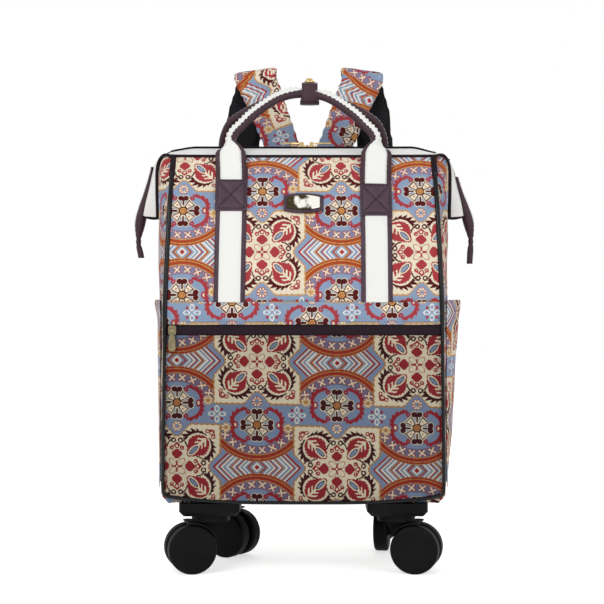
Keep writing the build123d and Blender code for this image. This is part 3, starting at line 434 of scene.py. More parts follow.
finishes = {
    "tapestryUpper": jacquard("jacquardUpper", tapestryLook["bright"]),
    # the pocket's jacquard takes the darker palette: painted shade
    "tapestryPocketShaded": jacquard("jacquardPocketShaded", tapestryLook["deep"]),
    "webbing": wovenWebbing("polyesterWebbing", trimLook["webbing"], trimLook["webbingShade"],
                            trimLook["webbingRib"]),
    "blackWebbing": mouldedPlastic("polypropyleneWebbing", trimLook["blackWebbing"], "#28282B", 0.75, 0.8),
    "leather": grainLeather("plumLeather", trimLook["plum"], trimLook["plumDark"]),
    # painted shade: the rolled leather is a darker copy of the plum leather
    "rolled": grainLeather("shadedPlumLeather", trimLook["rolled"], trimLook["rollShadeDark"]),
    "piping": glossVinyl("vinylPiping", trimLook["piping"]),
    # each tape's and thread's second colour is its painted highlight
    "zipTape": twillTape("twillZipTape", trimLook["zipTape"], "#3A2D36"),
    "zipCoil": twillTape("nylonZipCoil", trimLook["zipCoil"], "#2E232A"),
    "edgeTape": twillTape("foldedEdgeTape", "#150F13", "#281D24"),
    "airMesh": spacerMesh("spacerMesh", trimLook["meshHoleShade"]),
    "gold": goldPlating("goldPlatedZinc", trimLook["gold"], trimLook["goldDark"]),
    "plate": mirrorPlate("plateWithPaintedReflection", trimLook["plate"], trimLook["plateReflectionDark"]),
    # painted reflection: the gold plating darkened as if mirroring dark surroundings
    "goldInDarkReflection": goldPlating("goldPaintedDarkReflection", trimLook["paintedDarkGold"], trimLook["paintedDarkGoldDeep"]),
    "threadPlum": twillTape("waxedThread", trimLook["threadPlum"], "#4A3340"),
    "threadDark": twillTape("polyesterThread", trimLook["threadDark"], "#343038"),
    "nylon": mouldedPlastic("mouldedNylon", "#0A0A0A", "#181819", 0.5, 0.5),
    "wheel": mouldedPlastic("polyurethaneTread", "#0C0C0C", "#1A1A1B", 0.55, 0.7),
    "button": mouldedPlastic("mouldedAbs", "#26262A", "#4A4A50", 0.35, 0.5),
    "steel": drawnMetal("zincPlatedSteel", "#BFC1C4", "#8F9296", 0.34),
    "aluminium": drawnMetal("anodisedAluminium", "#C9CBCE", "#A7A9AD", 0.3),
}
print("materials made:", len(finishes))


# A shape in the making: its points, faces, cloth coordinates of each face corner, and finish of each face
def newShape():
    return {"points": [], "faces": [], "cloth": [], "finish": []}


# Adds rows of points joined by four-sided faces. ring joins each row's last point to its first, and caps closes
# the first and the last row.
def addRows(shape, rows, cloth=None, finish=0, ring=False, caps=False):
    start, width = len(shape["points"]), len(rows[0])
    for row in rows:
        shape["points"].extend(row)
    for i in range(len(rows) - 1):
        for k in range(width if ring else width - 1):
            j = (k + 1) % width
            shape["faces"].append([start + i * width + k, start + i * width + j,
                                   start + (i + 1) * width + j, start + (i + 1) * width + k])
            if cloth is None:
                shape["cloth"].append([(0, 0)] * 4)
            else:
                shape["cloth"].append([cloth[i][k], cloth[i][k + 1], cloth[i + 1][k + 1], cloth[i + 1][k]])
            shape["finish"].append(finish)
    for row in (rows[0], rows[-1]) if caps else ():
        addCap(shape, row, finish)


# Closes a ring of points with one flat face
def addCap(shape, points, finish=0):
    start = len(shape["points"])
    shape["points"].extend(points)
    shape["faces"].append(list(range(start, start + len(points))))
    shape["cloth"].append([(0, 0)] * len(points))
    shape["finish"].append(finish)


weldWithin = 0.02       # mm; points nearer than this become one


# Makes a shape into a piece: its materials, the body it rides on and the CAD nodes it stands for
def makePiece(name, shape, looks, body="root", replaces=()):
    mesh = bpy.data.meshes.new(name)
    mesh.from_pydata([[c * mm for c in point] for point in shape["points"]], [], shape["faces"])
    layer = mesh.uv_layers.new(name="cloth")
    flat = [value for corners in shape["cloth"] for corner in corners for value in corner]
    layer.data.foreach_set("uv", flat)
    mesh.polygons.foreach_set("material_index", shape["finish"])
    for look in looks:
        mesh.materials.append(finishes[look])
    work = bmesh.new()
    work.from_mesh(mesh)
    bmesh.ops.remove_doubles(work, verts=work.verts, dist=weldWithin * mm)
    bmesh.ops.recalc_face_normals(work, faces=work.faces)
    work.to_mesh(mesh)
    work.free()
    mesh.shade_smooth()
    piece = bpy.data.objects.new(name, mesh)
    bpy.context.scene.collection.objects.link(piece)
    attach(piece, body)
    if replaces:
        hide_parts(*replaces)
    return piece


# Evenly spread values from low to high
def spread(low, high, count):
    return [low + (high - low) * i / (count - 1) for i in range(count)]


def smoothStep(low, high, value):
    share = min(max((value - low) / (high - low), 0), 1)
    return share * share * (3 - 2 * share)


# Points round a loop: an ellipse, squarer where power is under 1
def loop(count, wide, high, power=1):
    turns = [math.tau * k / count for k in range(count)]
    return [(wide * math.copysign(abs(math.cos(t)) ** power, math.cos(t)),
             high * math.copysign(abs(math.sin(t)) ** power, math.sin(t))) for t in turns]


# The other half of a line that starts at the middle, from its far end
def mirrored(points):
    return [Vector((-p.x, p.y, p.z)) for p in reversed(points)]


# Point between b and c on a smooth curve through four points
def onCurve(a, b, c, d, t):
    return 0.5 * (2 * b + (c - a) * t + (2 * a - 5 * b + 4 * c - d) * t * t + (3 * b - a - 3 * c + d) * t ** 3)


# Smooth curve through a few points, as evenly spread points
def curveThrough(points, spacing):
    ends = [points[0] * 2 - points[1]] + list(points) + [points[-1] * 2 - points[-2]]
    line = []
    for i in range(1, len(ends) - 2):
        near = ends[i - 1:i + 3]
        count = max(2, int((near[2] - near[1]).length / spacing))
        line += [onCurve(*near, k / count) for k in range(count)]
    line.append(points[-1].copy())
    return line


# Lengths along a line of points
def lengthsAlong(line):
    total = [0.0]
    for i in range(1, len(line)):
        total.append(total[-1] + (line[i] - line[i - 1]).length)
    return total


# Direction of a line of points at its point i
def wayAhead(line, i):
    return (line[min(i + 1, len(line) - 1)] - line[max(i - 1, 0)]).normalized()


# Frames along a line: at each point the way ahead, the side, and the way out, which stays near outAt's
def framesAlong(line, outAt):
    frames = []
    for i, point in enumerate(line):
        ahead = wayAhead(line, i)
        out = Vector(outAt(i))
        side = ahead.cross(out).normalized()
        frames.append((point, ahead, side, side.cross(ahead).normalized()))
    return frames


# Sweeps a closed outline along a line. outlineAt gives its points as (side, out) pairs for a point of the line.
def addSweep(shape, frames, outlineAt, finish=0):
    lengths = lengthsAlong([f[0] for f in frames])
    rows, cloth = [], []
    for i, (point, ahead, side, out) in enumerate(frames):
        outline = outlineAt(i, lengths[i])
        rows.append([tuple(point + side * a + out * b) for a, b in outline])
        around, girth = [0.0], 0.0
        for k in range(len(outline)):
            (a0, b0), (a1, b1) = outline[k], outline[(k + 1) % len(outline)]
            girth += math.hypot(a1 - a0, b1 - b0)
            around.append(girth)
        cloth.append([(g, lengths[i]) for g in around])
    addRows(shape, rows, cloth, finish, ring=True, caps=True)


# A row of sewn stitches: short threads that dip into the cloth at both ends. outs is the way out at each point.
def addStitches(shape, line, outs, pitch=3.4, thick=0.42, finish=0):
    lengths = lengthsAlong(line)
    count = max(1, int(lengths[-1] / pitch))
    for n in range(count):
        start = (n + 0.16) * pitch
        rows = []
        for share, high in ((0, -0.25), (0.18, 0.2), (0.5, 0.32), (0.82, 0.2), (1, -0.25)):
            along = start + share * pitch * 0.7
            i = max(k for k in range(len(lengths)) if lengths[k] <= along or k == 0)
            i = min(i, len(line) - 2)
            part = (along - lengths[i]) / max(lengths[i + 1] - lengths[i], 1e-6)
            centre = line[i].lerp(line[i + 1], part)
            out = Vector(outs[i])
            ahead = (line[i + 1] - line[i]).normalized()
            side = ahead.cross(out).normalized()
            wide = thick * (0.35 if share in (0, 1) else 1.0)
            rows.append([tuple(centre + out * (high + b) + side * a) for a, b in loop(6, 0.55 * wide, 0.5 * wide)])
        addRows(shape, rows, finish=finish, ring=True)


# Sizes that the cloth pieces share with the model's source. The lists give the front's and the back's y, the
# half width and the flanks' bulge at each of the heights.
bag = {
    "heights": [82, 90, 313, 380, 425, 455, 484],
    "front": [-98.5, -104.5, -104.5, -96.34, -83.59, -70.33, -53.5],
    "back": [67.5, 73.5, 73.5, 73.5, 71.3, 47.65, 18.5],
    "half": [155, 161, 158.5, 156.34, 154.88, 153.93, 153],
    "bulge": [8, 8, 13, 16.9, 19.55, 21.3, 23],
    "seamZ": 313, "mouthZ": 484, "ridgeY": -14.5, "ridgeHalfDepth": 12, "ridgeRise": 12.5, "ridgeIn": 5,
    "recessTop": 464, "recessHalf": 77.85, "recessY": 52.2,     # the channel that the pull handle runs in
    "strapX": 84, "badgeZ": 427,
    "puff": 1.5,            # how far the front cloth stands out between its seams
    "pucker": 0.45,         # height of the gathers along the piping
}


# Value of one of the bag's lists at a height
def atHeight(key, z):
    heights, values = bag["heights"], bag[key]
    for i in range(len(heights) - 1):
        if z <= heights[i + 1]:
            share = max((z - heights[i]) / (heights[i + 1] - heights[i]), 0)
            return values[i] + (values[i + 1] - values[i]) * share
    return values[-1]


# The same with its corners eased over 8 mm, as cloth lies over them
def easedAt(key, z):
    if z < 100:
        return atHeight(key, z)
    return sum(atHeight(key, min(z + d, bag["mouthZ"])) for d in (-8, -4, 0, 4, 8)) / 5


# Length of the front cloth from the seam up to a height
def frontLength(z):
    if z <= bag["seamZ"]:
        return z
    steps = spread(bag["seamZ"], z, 12)
    return bag["seamZ"] + sum(math.hypot(steps[i + 1] - steps[i], atHeight("front", steps[i + 1])
                                         - atHeight("front", steps[i])) for i in range(11))


# Gathers beside a seam, fading with the distance away from it
def gather(along, away, scale=11):
    wave = math.sin(math.tau * along / scale + 3 * noise.noise(Vector((along / 37, 4.2, 0))))
    return bag["pucker"] * math.exp(-away / 9) * wave


# Soft unevenness of cloth, from -1 to 1, about scale mm across
def wrinkle(x, y, z, scale=46):
    return noise.noise(Vector((x, y * 1.3, z * 0.8)) / scale)


# Front cloth: it stands out between the straps and seams and lies flat under the straps and the badge
def frontCloth(x, z):
    half = easedAt("half", z)
    away = half - abs(x)
    between = 1 - math.exp(-max(abs(abs(x) - bag["strapX"]) - 17, 0) / 9)
    badge = 1 - math.exp(-((x / 30) ** 4 + ((z - bag["badgeZ"]) / 20) ** 4))
    seams = smoothStep(0, 14, away) * smoothStep(311, 330, z) * (1 - smoothStep(468, 486, z))
    swell = bag["puff"] * seams * between * badge * (0.8 + 0.5 * wrinkle(x, 0, z))
    return easedAt("front", z) - swell - gather(z, away) * between


# How far out a flank reaches, which bows in an arc between the front and the back
def gussetX(y, z):
    front, back = easedAt("front", z), easedAt("back", z)
    middle, reach, rise = (front + back) / 2, (back - front) / 2, easedAt("bulge", z)
    radius = (reach * reach + rise * rise) / (2 * rise)
    return easedAt("half", z) + math.sqrt(max(radius * radius - (y - middle) ** 2, 0)) - radius + rise


# How far the mouth sinks towards its corners, in mm
mouthDroop = {"left": 4, "right": 6, "from": 128, "to": 162}


def cornerDroop(x):
    return mouthDroop["left" if x < 0 else "right"] * smoothStep(mouthDroop["from"], mouthDroop["to"], abs(x))


# Bag body: one closed shell of front, two flanks, back with the pull handle's channel, and the sloping roof
def makeBagBody():
    shape = newShape()
    seamZ, mouthZ, recess = bag["seamZ"], bag["mouthZ"], bag["recessHalf"]
    heights = spread(82, 90, 4) + spread(96, 312, 28) + [seamZ + 0.2] + spread(318, mouthZ, 40)
    heights += [mouthZ + bag["ridgeRise"] * share for share in (1 / 3, 2 / 3, 1)]
    channel = [recess + 0.05, recess - 0.05] + spread(70, -70, 15) + [0.05 - recess, -0.05 - recess]
    behindX = spread(1, 0.5, 10)
    rows, clothRows = [], []
    for z in heights:
        up = max(z - mouthZ, 0) / bag["ridgeRise"]
        half = easedAt("half", z) - bag["ridgeIn"] * up
        front = easedAt("front", z) + (bag["ridgeY"] - bag["ridgeHalfDepth"] - bag["front"][-1]) * up
        back = easedAt("back", z) + (bag["ridgeY"] + bag["ridgeHalfDepth"] - bag["back"][-1]) * up
        row, uv = [], []
        for t in spread(-1, 1, 81):
            x = half * t
            y = front + (6 if z < seamZ else 0) * smoothStep(0, 6, half - abs(x))
            if up == 0 and z > seamZ:
                y = frontCloth(x, z)
            row.append((x, y, z))
            uv.append((x, frontLength(z)))
        for side in (1, -1):
            ys = [front + (back - front) * t for t in spread(0, 1, 27)[1:-1]]
            if side == -1:
                ys.reverse()
            for y in ys:
                away = min(y - front, back - y)
                out = (gussetX(y, min(z, mouthZ)) - easedAt("half", min(z, mouthZ))) * (1 - 0.96 * up)
                fold = 1.6 * smoothStep(0, 20, away) * wrinkle(y, side * 90, z, 38) * (1 - up)
                row.append((side * (half + out + fold + gather(z, away)), y, z))
                uv.append((side * 400 + side * y, z))
            if side == 1:
                for x in [half * t for t in behindX] + channel + [-half * t for t in reversed(behindX)]:
                    sunk = abs(x) < recess and z < bag["recessTop"]
                    row.append((x, min(back, bag["recessY"]) if sunk else back, z))
                    uv.append((600 - x, z))
        rows.append([(x, y, z - cornerDroop(x) * up) for x, y, z in row])
        clothRows.append(uv)
    width = len(rows[0])
    for row in rows:
        shape["points"].extend(row)
    for i in range(len(rows) - 1):
        for k in range(width):
            j = (k + 1) % width
            corners = [(i, k), (i, j), (i + 1, j), (i + 1, k)]
            shape["faces"].append([r * width + c for r, c in corners])
            own = clothRows[i][k]
            uvs = [clothRows[r][c] for r, c in corners]
            if max(abs(u[0] - own[0]) for u in uvs) > 40:   # a seam: both sides keep their own cloth
                uvs = [(own[0], u[1]) for u in uvs]
            shape["cloth"].append([(u + tapestryPlace["front"][0], v + tapestryPlace["front"][1]) for u, v in uvs])
            shape["finish"].append(1 if rows[i][0][2] > mouthZ - 0.1 else 0)
    addCap(shape, rows[0])
    addCap(shape, rows[-1], finish=1)
    return makePiece("bagBody", shape, ["tapestryUpper", "webbing"], replaces=["main_bag"])


# Where a cream panel's centre falls on each part, from the photograph, in mm: added to its cloth coordinates
tapestryPlace = {
    "front": (47.6, -370.8),
    "pocket": (53.2, -243.8),
    "placket": (81.7, -241.2),
    "flank": (20.0, -300.0),
    "strap.left": (-48.2, -151.4),
    "strap.right": (74.5, 99.4),
}


# Front piping: cord under gloss vinyl down both sides and along the sagging bottom, its ends bound in tape
pipingLook = {
    "wide": 2.8, "deep": 2.6, "slim": 0.26,     # slim is how much thinner it is above the pocket
    "matt": 468,                                # the tape binding starts at this height
    "corner": 104, "low": 83, "rise": 7.9, "half": 158,
}


# Lower line of the front piping, which sags a little at the middle
def pipingLow(x):
    return pipingLook["low"] + pipingLook["rise"] * min(abs(x) / pipingLook["half"], 1) ** 3.6


# Front pocket: a panel that stands out a little from the piping round it, with gathers beside its seams
pocketLook = {
    "y": -102.4, "seamZ": 275, "high": 275.6, "puff": 3.0, "folds": 1.3,
    "lean": 0.0196, "stretch": 1.024,       # of the pattern, as the panel was cut and sewn
    # each crease: x and z of its middle, its lean, its height
    "creases": [(-139, 112, 0.35, 3.8), (-130, 106, 0.2, -3.0), (-146, 136, -0.3, 2.0),
                (136, 118, -0.5, 3.4), (127, 108, -0.4, -2.8), (144, 98, 0.7, 2.4)],
}


def makePocket():
    shape = newShape()
    look, seam = pocketLook, pocketLook["seamZ"]
    rows, cloth = [], []
    for up in [0, 0.006] + spread(0.012, 0.985, 60) + [0.992, 0.998, 1.0]:
        row, uv = [], []
        for t in spread(-1, 1, 90):
            wide = easedAt("half", 90 + (seam - 90) * up) - 1.2
            low = pipingLow(wide * t)
            z = low + (look["high"] - low) * up
            corner = 1 - 0.055 * max(0, (104 - z) / 14) ** 2 * abs(t) ** 4
            x = wide * t * corner
            away = min(wide - abs(x), z - low)
            top = smoothStep(-1, 5, seam - z)
            swell = look["puff"] * smoothStep(0, 16, away) * (0.55 + 0.45 * top)
            folds = look["folds"] * wrinkle(x, 30, z, 52) * smoothStep(4, 30, away) * smoothStep(0, 25, seam - z)
            ripple = gather(z if wide - abs(x) < z - low else x, max(away, 0), 12)
            zipRipple = 0.35 * math.exp(-(seam - z) / 10)
            zipRipple *= math.sin(x / 3.1 + 2 * noise.noise(Vector((x / 30, 1, 0))))
            crease = 0
            for x0, z0, tilt, size in look["creases"]:
                over = (x - x0) * math.cos(tilt) + (z - z0) * math.sin(tilt)
                run = -(x - x0) * math.sin(tilt) + (z - z0) * math.cos(tilt)
                crease += size * math.exp(-(over / 4) ** 2 - (run / 24) ** 2)
            y = look["y"] - swell * 0.75 - folds - ripple - zipRipple - crease * smoothStep(0, 8, away)
            if up == 0:
                y = look["y"] + 2.4     # tucked behind the piping
            if z > seam:
                y = look["y"] + 0.2
            row.append((x, y, z))
            uv.append((x + tapestryPlace["pocket"][0],
                       (z + look["lean"] * x + tapestryPlace["pocket"][1]) * look["stretch"]))
        rows.append(row)
        cloth.append(uv)
    addRows(shape, rows, cloth)
    return makePiece("frontPocket", shape, ["tapestryPocketShaded"], replaces=["front_pocket"])


def makeFrontPiping():
    shape = newShape()
    down = [Vector((easedAt("half", z), easedAt("front", z) - 0.2, z))
            for z in spread(bag["mouthZ"], pipingLook["corner"], 96)]
    turn = [Vector((x, -103.4, z)) for x, z in ((160.6, 97), (159, 92.6), (154, pipingLow(154)))]
    bottom = [Vector((x, -102.6, pipingLow(x))) for x in spread(144, 0, 19)]
    half = down + curveThrough(turn, 2) + bottom
    line = half + mirrored(half[:-1])
    frames = framesAlong(line, lambda i: (0, -1, 0))
    wide, deep = pipingLook["wide"], pipingLook["deep"]
    slim = [1 - pipingLook["slim"] * (1 - smoothStep(255, 310, p.z)) for p in line]
    gloss = [i for i, p in enumerate(line) if p.z < pipingLook["matt"]]
    first, last = gloss[0], gloss[-1]
    addSweep(shape, frames[first:last + 1], lambda i, run: loop(14, wide * slim[i + first], deep))
    for part in (frames[:first + 2], frames[last - 1:]):
        addSweep(shape, part, lambda i, run: loop(14, 1.25 * wide, 0.9 * deep), finish=1)
    return makePiece("frontPiping", shape, ["piping", "edgeTape"], replaces=["front_piping"])


# Placket: a folded strip of cloth over the pocket's zip, stitched along its lower edge
placketLook = {
    "half": 157.2, "stitchHalf": 154,
    # y and z across the strip, from its lower edge up
    "profile": [(-101.8, 286.9), (-103.9, 287.2), (-104.6, 288.2), (-104.3, 290.2), (-105.0, 292.5), (-105.9, 298),
                (-106.1, 304), (-105.9, 309), (-105.4, 312.2), (-104.4, 313.4), (-103.4, 313.2)],
    # y and z of each row of stitches: on the placket, and on the pocket under the zip
    "stitches": [(-104.5, 290.3), (-104.8, 272.6)],
}


def makePlacket():
    shape = newShape()
    profile, half = placketLook["profile"], placketLook["half"]
    rows, cloth = [], []
    for x in spread(-half, half, 130):
        away = half - abs(x)
        row, uv, run = [], [], 0
        for k, (y, z) in enumerate(profile):
            if k:
                run += math.hypot(y - profile[k - 1][0], z - profile[k - 1][1])
            soft = smoothStep(0, 8, away) * smoothStep(288, 296, z)
            swell = 0.8 * soft * wrinkle(x, 50, z, 24) + 0.3 * math.sin(x / 3.3) * math.exp(-abs(z - 290) / 4)
            tuck = 1.6 * (1 - smoothStep(0, 7, away))
            row.append((x, y - swell + tuck, z + 0.4 * wrinkle(x, 9, 0, 30)))
            uv.append((x + tapestryPlace["placket"][0], profile[0][1] + run + tapestryPlace["placket"][1]))
        rows.append(row)
        cloth.append(uv)
    addRows(shape, rows, cloth)
    reach = placketLook["stitchHalf"]
    for y, z in placketLook["stitches"]:
        line = [Vector((x, y, z)) for x in spread(-reach, reach, 160)]
        addStitches(shape, line, [(0, -1, 0)] * len(line), pitch=3.6, finish=1)
    return makePiece("placketStrip", shape, ["tapestryUpper", "threadDark"],
                     replaces=["placket"])


# Pocket zip: two tapes whose edges meet over the coil, with woven ridges along them and dark edges
pocketZipLook = {
    "half": 156.5, "middleZ": 280.75,
    # y and z across the zip, from its lower edge up
    "profile": [(-102.0, 274.6), (-103.3, 274.9), (-103.5, 276.9), (-103.3, 277.3), (-103.9, 277.8), (-103.6, 278.4),
                (-104.2, 279.0), (-103.9, 279.6), (-104.5, 280.2), (-104.1, 280.75), (-104.5, 281.3), (-103.9, 281.9),
                (-104.2, 282.5), (-103.6, 283.1), (-103.9, 283.7), (-103.3, 284.2), (-103.5, 284.6), (-103.3, 286.6),
                (-102.0, 286.9)],
    # first and last point of each strip, and its finish: dark edge, ridged tape, dark edge
    "strips": [(0, 4, 1), (3, 16, 0), (15, 19, 1)],
}


def makePocketZip():
    shape = newShape()
    rows = []
    for x in spread(-pocketZipLook["half"], pocketZipLook["half"], 300):
        rows.append([(x, y + (0.06 * math.sin(x * 2.1) if abs(z - pocketZipLook["middleZ"]) < 3 else 0),
                      z + 0.3 * wrinkle(x, 0, 0, 40)) for y, z in pocketZipLook["profile"]])
    for first, last, finish in pocketZipLook["strips"]:
        addRows(shape, [row[first:last] for row in rows], finish=finish)
    return makePiece("pocketZip", shape, ["zipCoil", "edgeTape"], replaces=["pocket_zip_tape"])


# Side pockets: cloth held in by elastic along a turned hem, standing away from the flank at its middle
sidePocketLook = {
    "middle": -15.5, "reach": 66, "low": 97, "hemLow": 300, "hemHigh": 314.5,
    "heights": [98, 160, 250, 285, 300, 310, 316],      # at which each pocket's middle stands this far out:
    "left": {"side": -1, "out": [168.6, 169.8, 170.4, 172.0, 174.0, 175.8, 174.4]},
    "right": {"side": 1, "out": [169.5, 176.5, 181, 184, 185.2, 186, 185.2]},
}


def makeSidePocket(name):
    look = sidePocketLook
    side = look[name]["side"]
    shape = newShape()
    middle, reach, hem = look["middle"], look["reach"], look["hemLow"]
    rows, cloth = [], []
    heights = spread(look["low"], hem, 40) + spread(hem + 2, look["hemHigh"], 8)
    for inner in (False, True):
        for z in (reversed(heights) if inner else heights):
            out = float(np.interp(z, look["heights"], look[name]["out"]))
            row, uv = [], []
            for t in spread(-1, 1, 49):
                y = middle + reach * t
                edge = gussetX(y, z) + (0.7 if inner else 1.5)
                bow = max(out - gussetX(middle, z), 1.4) * (1 - abs(t) ** 2.4)
                fold = 0.7 * smoothStep(hem, hem + 4, z) * (0 if inner else 1)
                gatherHem = 0.55 * smoothStep(280, 312, z) * math.sin(t * 40 + 2 * wrinkle(y, 3, 0, 15))
                x = edge + bow + fold + gatherHem * (1 - abs(t)) + 0.8 * wrinkle(y, 12, z, 30) * (1 - abs(t))
                row.append((side * (x - (1.4 if inner else 0)), y, z + (1.2 * (1 - t * t) if z > hem else 0)))
                uv.append((y + tapestryPlace["flank"][0], z + tapestryPlace["flank"][1]))
            rows.append(row)
            cloth.append(uv)
    addRows(shape, rows, cloth)
    out = float(np.interp(hem + 2, look["heights"], look[name]["out"])) + 0.9
    line = [Vector((side * (out - 16 * abs(t) ** 2.4), middle + reach * t, hem + 2.5)) for t in spread(-0.9, 0.9, 60)]
    addStitches(shape, line, [(side, 0, 0)] * len(line), finish=1)
    return makePiece(f"sidePocket.{name}", shape, ["tapestryUpper", "threadDark"],
                     replaces=[f"side_pocket_{name}"])


# Front straps: a plum leather strip with white webbing sewn on it, both following the bag's front
strapLook = {"leather": 18, "webbing": 12.4, "scallop": 2.4, "leatherThick": 1.1, "webbingThick": 0.9}


# The webbing's edge, scalloped as it is woven
def webbingEdge(along):
    return 0.4 * abs(math.sin(math.pi * along / strapLook["scallop"]))


def makeFrontStrap(name, centre, lean):
    shape = newShape()
    zs = spread(bag["seamZ"] - 0.5, 470, 262)
    line = [Vector((centre + lean * (z - 390), easedAt("front", z) - 0.2, z)) for z in zs]
    frames = framesAlong(line, lambda i: (0, -1, 0))

    def leather(i, along):
        half, thick = strapLook["leather"], strapLook["leatherThick"]
        return [(-half, 0), (-half, thick * 0.7), (-half + 0.5, thick), (half - 0.5, thick), (half, thick * 0.7),
                (half, 0)]

    def webbing(i, along):
        half, low = strapLook["webbing"] + webbingEdge(along), strapLook["leatherThick"]
        high = low + strapLook["webbingThick"]
        return [(-half, low), (-half + 0.1, high - 0.2), (-half + 0.7, high), (-4, high + 0.1), (4, high + 0.1),
                (half - 0.7, high), (half - 0.1, high - 0.2), (half, low)]

    addSweep(shape, frames, leather, finish=0)
    addSweep(shape, frames, webbing, finish=1)
    for side in (-1, 1):
        for at, finish in ((strapLook["webbing"] - 1.6, 3), (strapLook["leather"] - 1.5, 2)):
            high = 2.05 if finish == 3 else 1.1
            stitch = [f[0] + f[2] * side * at + f[3] * high for f in frames]
            addStitches(shape, stitch, [f[3] for f in frames], pitch=3.2, thick=0.34, finish=finish)
    return makePiece(f"frontStrap.{name}", shape, ["leather", "webbing", "threadPlum", "webbing"])


# Leather patch: four puffed triangles between stitched diagonals, inside a stitched border
patchLook = {
    "half": 18.4, "thick": 2.0, "pillow": 1.9, "border": 2.6, "count": 37,
    # on the front of the bag, then on its back: lowest and highest z, centre x, and how far it stands off the bag
    "front": (417.8, 455.6, 84, 2.1), "back": (432, 453.8, 98, 0.3),
    "sunk": {-1: 0, 1: 5.5},        # the front patches aren't sewn level
}


# One patch, from its centre, its half vectors to the right and up, and the way out
def addPatch(shape, centre, right, up, out):
    count, high = patchLook["count"], up.length
    rows = []
    for v in spread(-1, 1, count):
        row = []
        for u in spread(-1, 1, count):
            edge = min((1 - abs(u)) * right.length, (1 - abs(v)) * high)
            lines = min(abs(u - v), abs(u + v)) * right.length * 0.7
            inner = patchLook["border"]
            lift = patchLook["thick"] * min(1, math.sqrt(max(edge, 0) / 1.2))
            if edge > inner:
                lift += patchLook["pillow"] * (1 - math.exp(-min(edge - inner, lines) / 2.6))
            lift -= 0.35 * (math.exp(-((edge - inner) / 0.7) ** 2) + math.exp(-(lines / 0.7) ** 2) * (edge > inner))
            corner = 1 - 0.012 * (abs(u * v) ** 6)
            row.append(tuple(centre + right * u * corner + up * v * corner + out * max(lift, 0)))
        rows.append(row)
    addRows(shape, rows)
    rim = ([(-1, v) for v in spread(-1, 1, 5)] + [(u, 1) for u in spread(-1, 1, 5)][1:]
           + [(1, v) for v in spread(1, -1, 5)][1:] + [(u, -1) for u in spread(1, -1, 5)][1:])
    addCap(shape, [tuple(centre + right * u * 0.999 + up * v * 0.999) for u, v in rim[:-1]])
    shrink = 1 - patchLook["border"] / right.length
    tall = 1 - patchLook["border"] / high
    box = [(-shrink, -tall), (shrink, -tall), (shrink, tall), (-shrink, tall), (-shrink, -tall)]
    runs = [(box[i], box[i + 1]) for i in range(4)] + [(box[0], box[2]), (box[1], box[3])]
    for a, b in runs:
        lift = patchLook["thick"] - 0.05
        line = [centre + right * (a[0] + (b[0] - a[0]) * t) + up * (a[1] + (b[1] - a[1]) * t) + out * lift
                for t in spread(0, 1, 24)]
        addStitches(shape, line, [out] * len(line), pitch=3.0, thick=0.95, finish=1)   # thicker than real, to show


def makePatches():
    shape = newShape()
    for side in (-1, 1):
        for key, way in (("front", -1), ("back", 1)):
            low, high, x, lift = patchLook[key]
            sunk = patchLook["sunk"][side] if key == "front" else 0
            bottom, top = [Vector((side * x, atHeight(key, z) + way * lift, z)) for z in (low - sunk, high - sunk)]
            up = (top - bottom) / 2
            right = Vector((patchLook["half"], 0, 0))
            out = right.cross(up).normalized() * -way
            addPatch(shape, (top + bottom) / 2 + out * 0.9, right, up, out)
    return makePiece("handlePatches", shape, ["leather", "threadDark"],
                     replaces=["handle_patches"])


# Carry handles: a flat leather strap that rolls round a cord, with webbing puckered along its outer side
# Handle centre lines: foot and apex are y and z, profile is x and z from foot to top as the photo shows it, start
# leads up from the strap, join is where the two meet, out and face turn the roll's webbing outwards or to its side.
handleLook = {
    "front": {"foot": (-77.2, 458), "apex": (-18.8, 569), "start": [(84, -74.6, 450), (84.6, -66.6, 468)],
              "join": 26, "out": 0.86, "face": 0.58,
              "profile": [(84, 458), (85.2, 480), (85.4, 499), (81.6, 511.5), (72.8, 521.5), (59.1, 536), (36.6, 553),
                          (21.7, 560), (9, 563.4), (0, 564)]},
    "rear": {"foot": (52.1, 458), "apex": (-6.2, 565), "start": [(98, 54.6, 450), (98.6, 48.5, 464)],
             "join": 24, "out": 0.35, "face": 0.9,
             "profile": [(98, 458), (99, 480), (99.5, 500), (97.5, 515), (90, 530.5), (77.5, 540), (61, 548.5),
                         (40, 557), (20, 562.8), (8, 564.7), (0, 565)]},
    "roll": 5.2, "rollLow": 38, "rollHigh": 62,     # radius of the roll, and how far along it starts and is full
    "pucker": 5.6, "flatHalf": 3.5,     # mm from one gather of the webbing to the next, and its half width there
}


# Centre line of half a handle, from its foot to its top, in a plane that leans towards the other handle
def handleCentre(look):
    footY, footZ = look["foot"]
    lean = Vector((0, look["apex"][0] - footY, look["apex"][1] - footZ))
    points = [Vector((-x, footY + lean.y * (z - footZ) / lean.z, z)) for x, z in look["profile"]]
    return curveThrough(points, 4), lean.normalized()


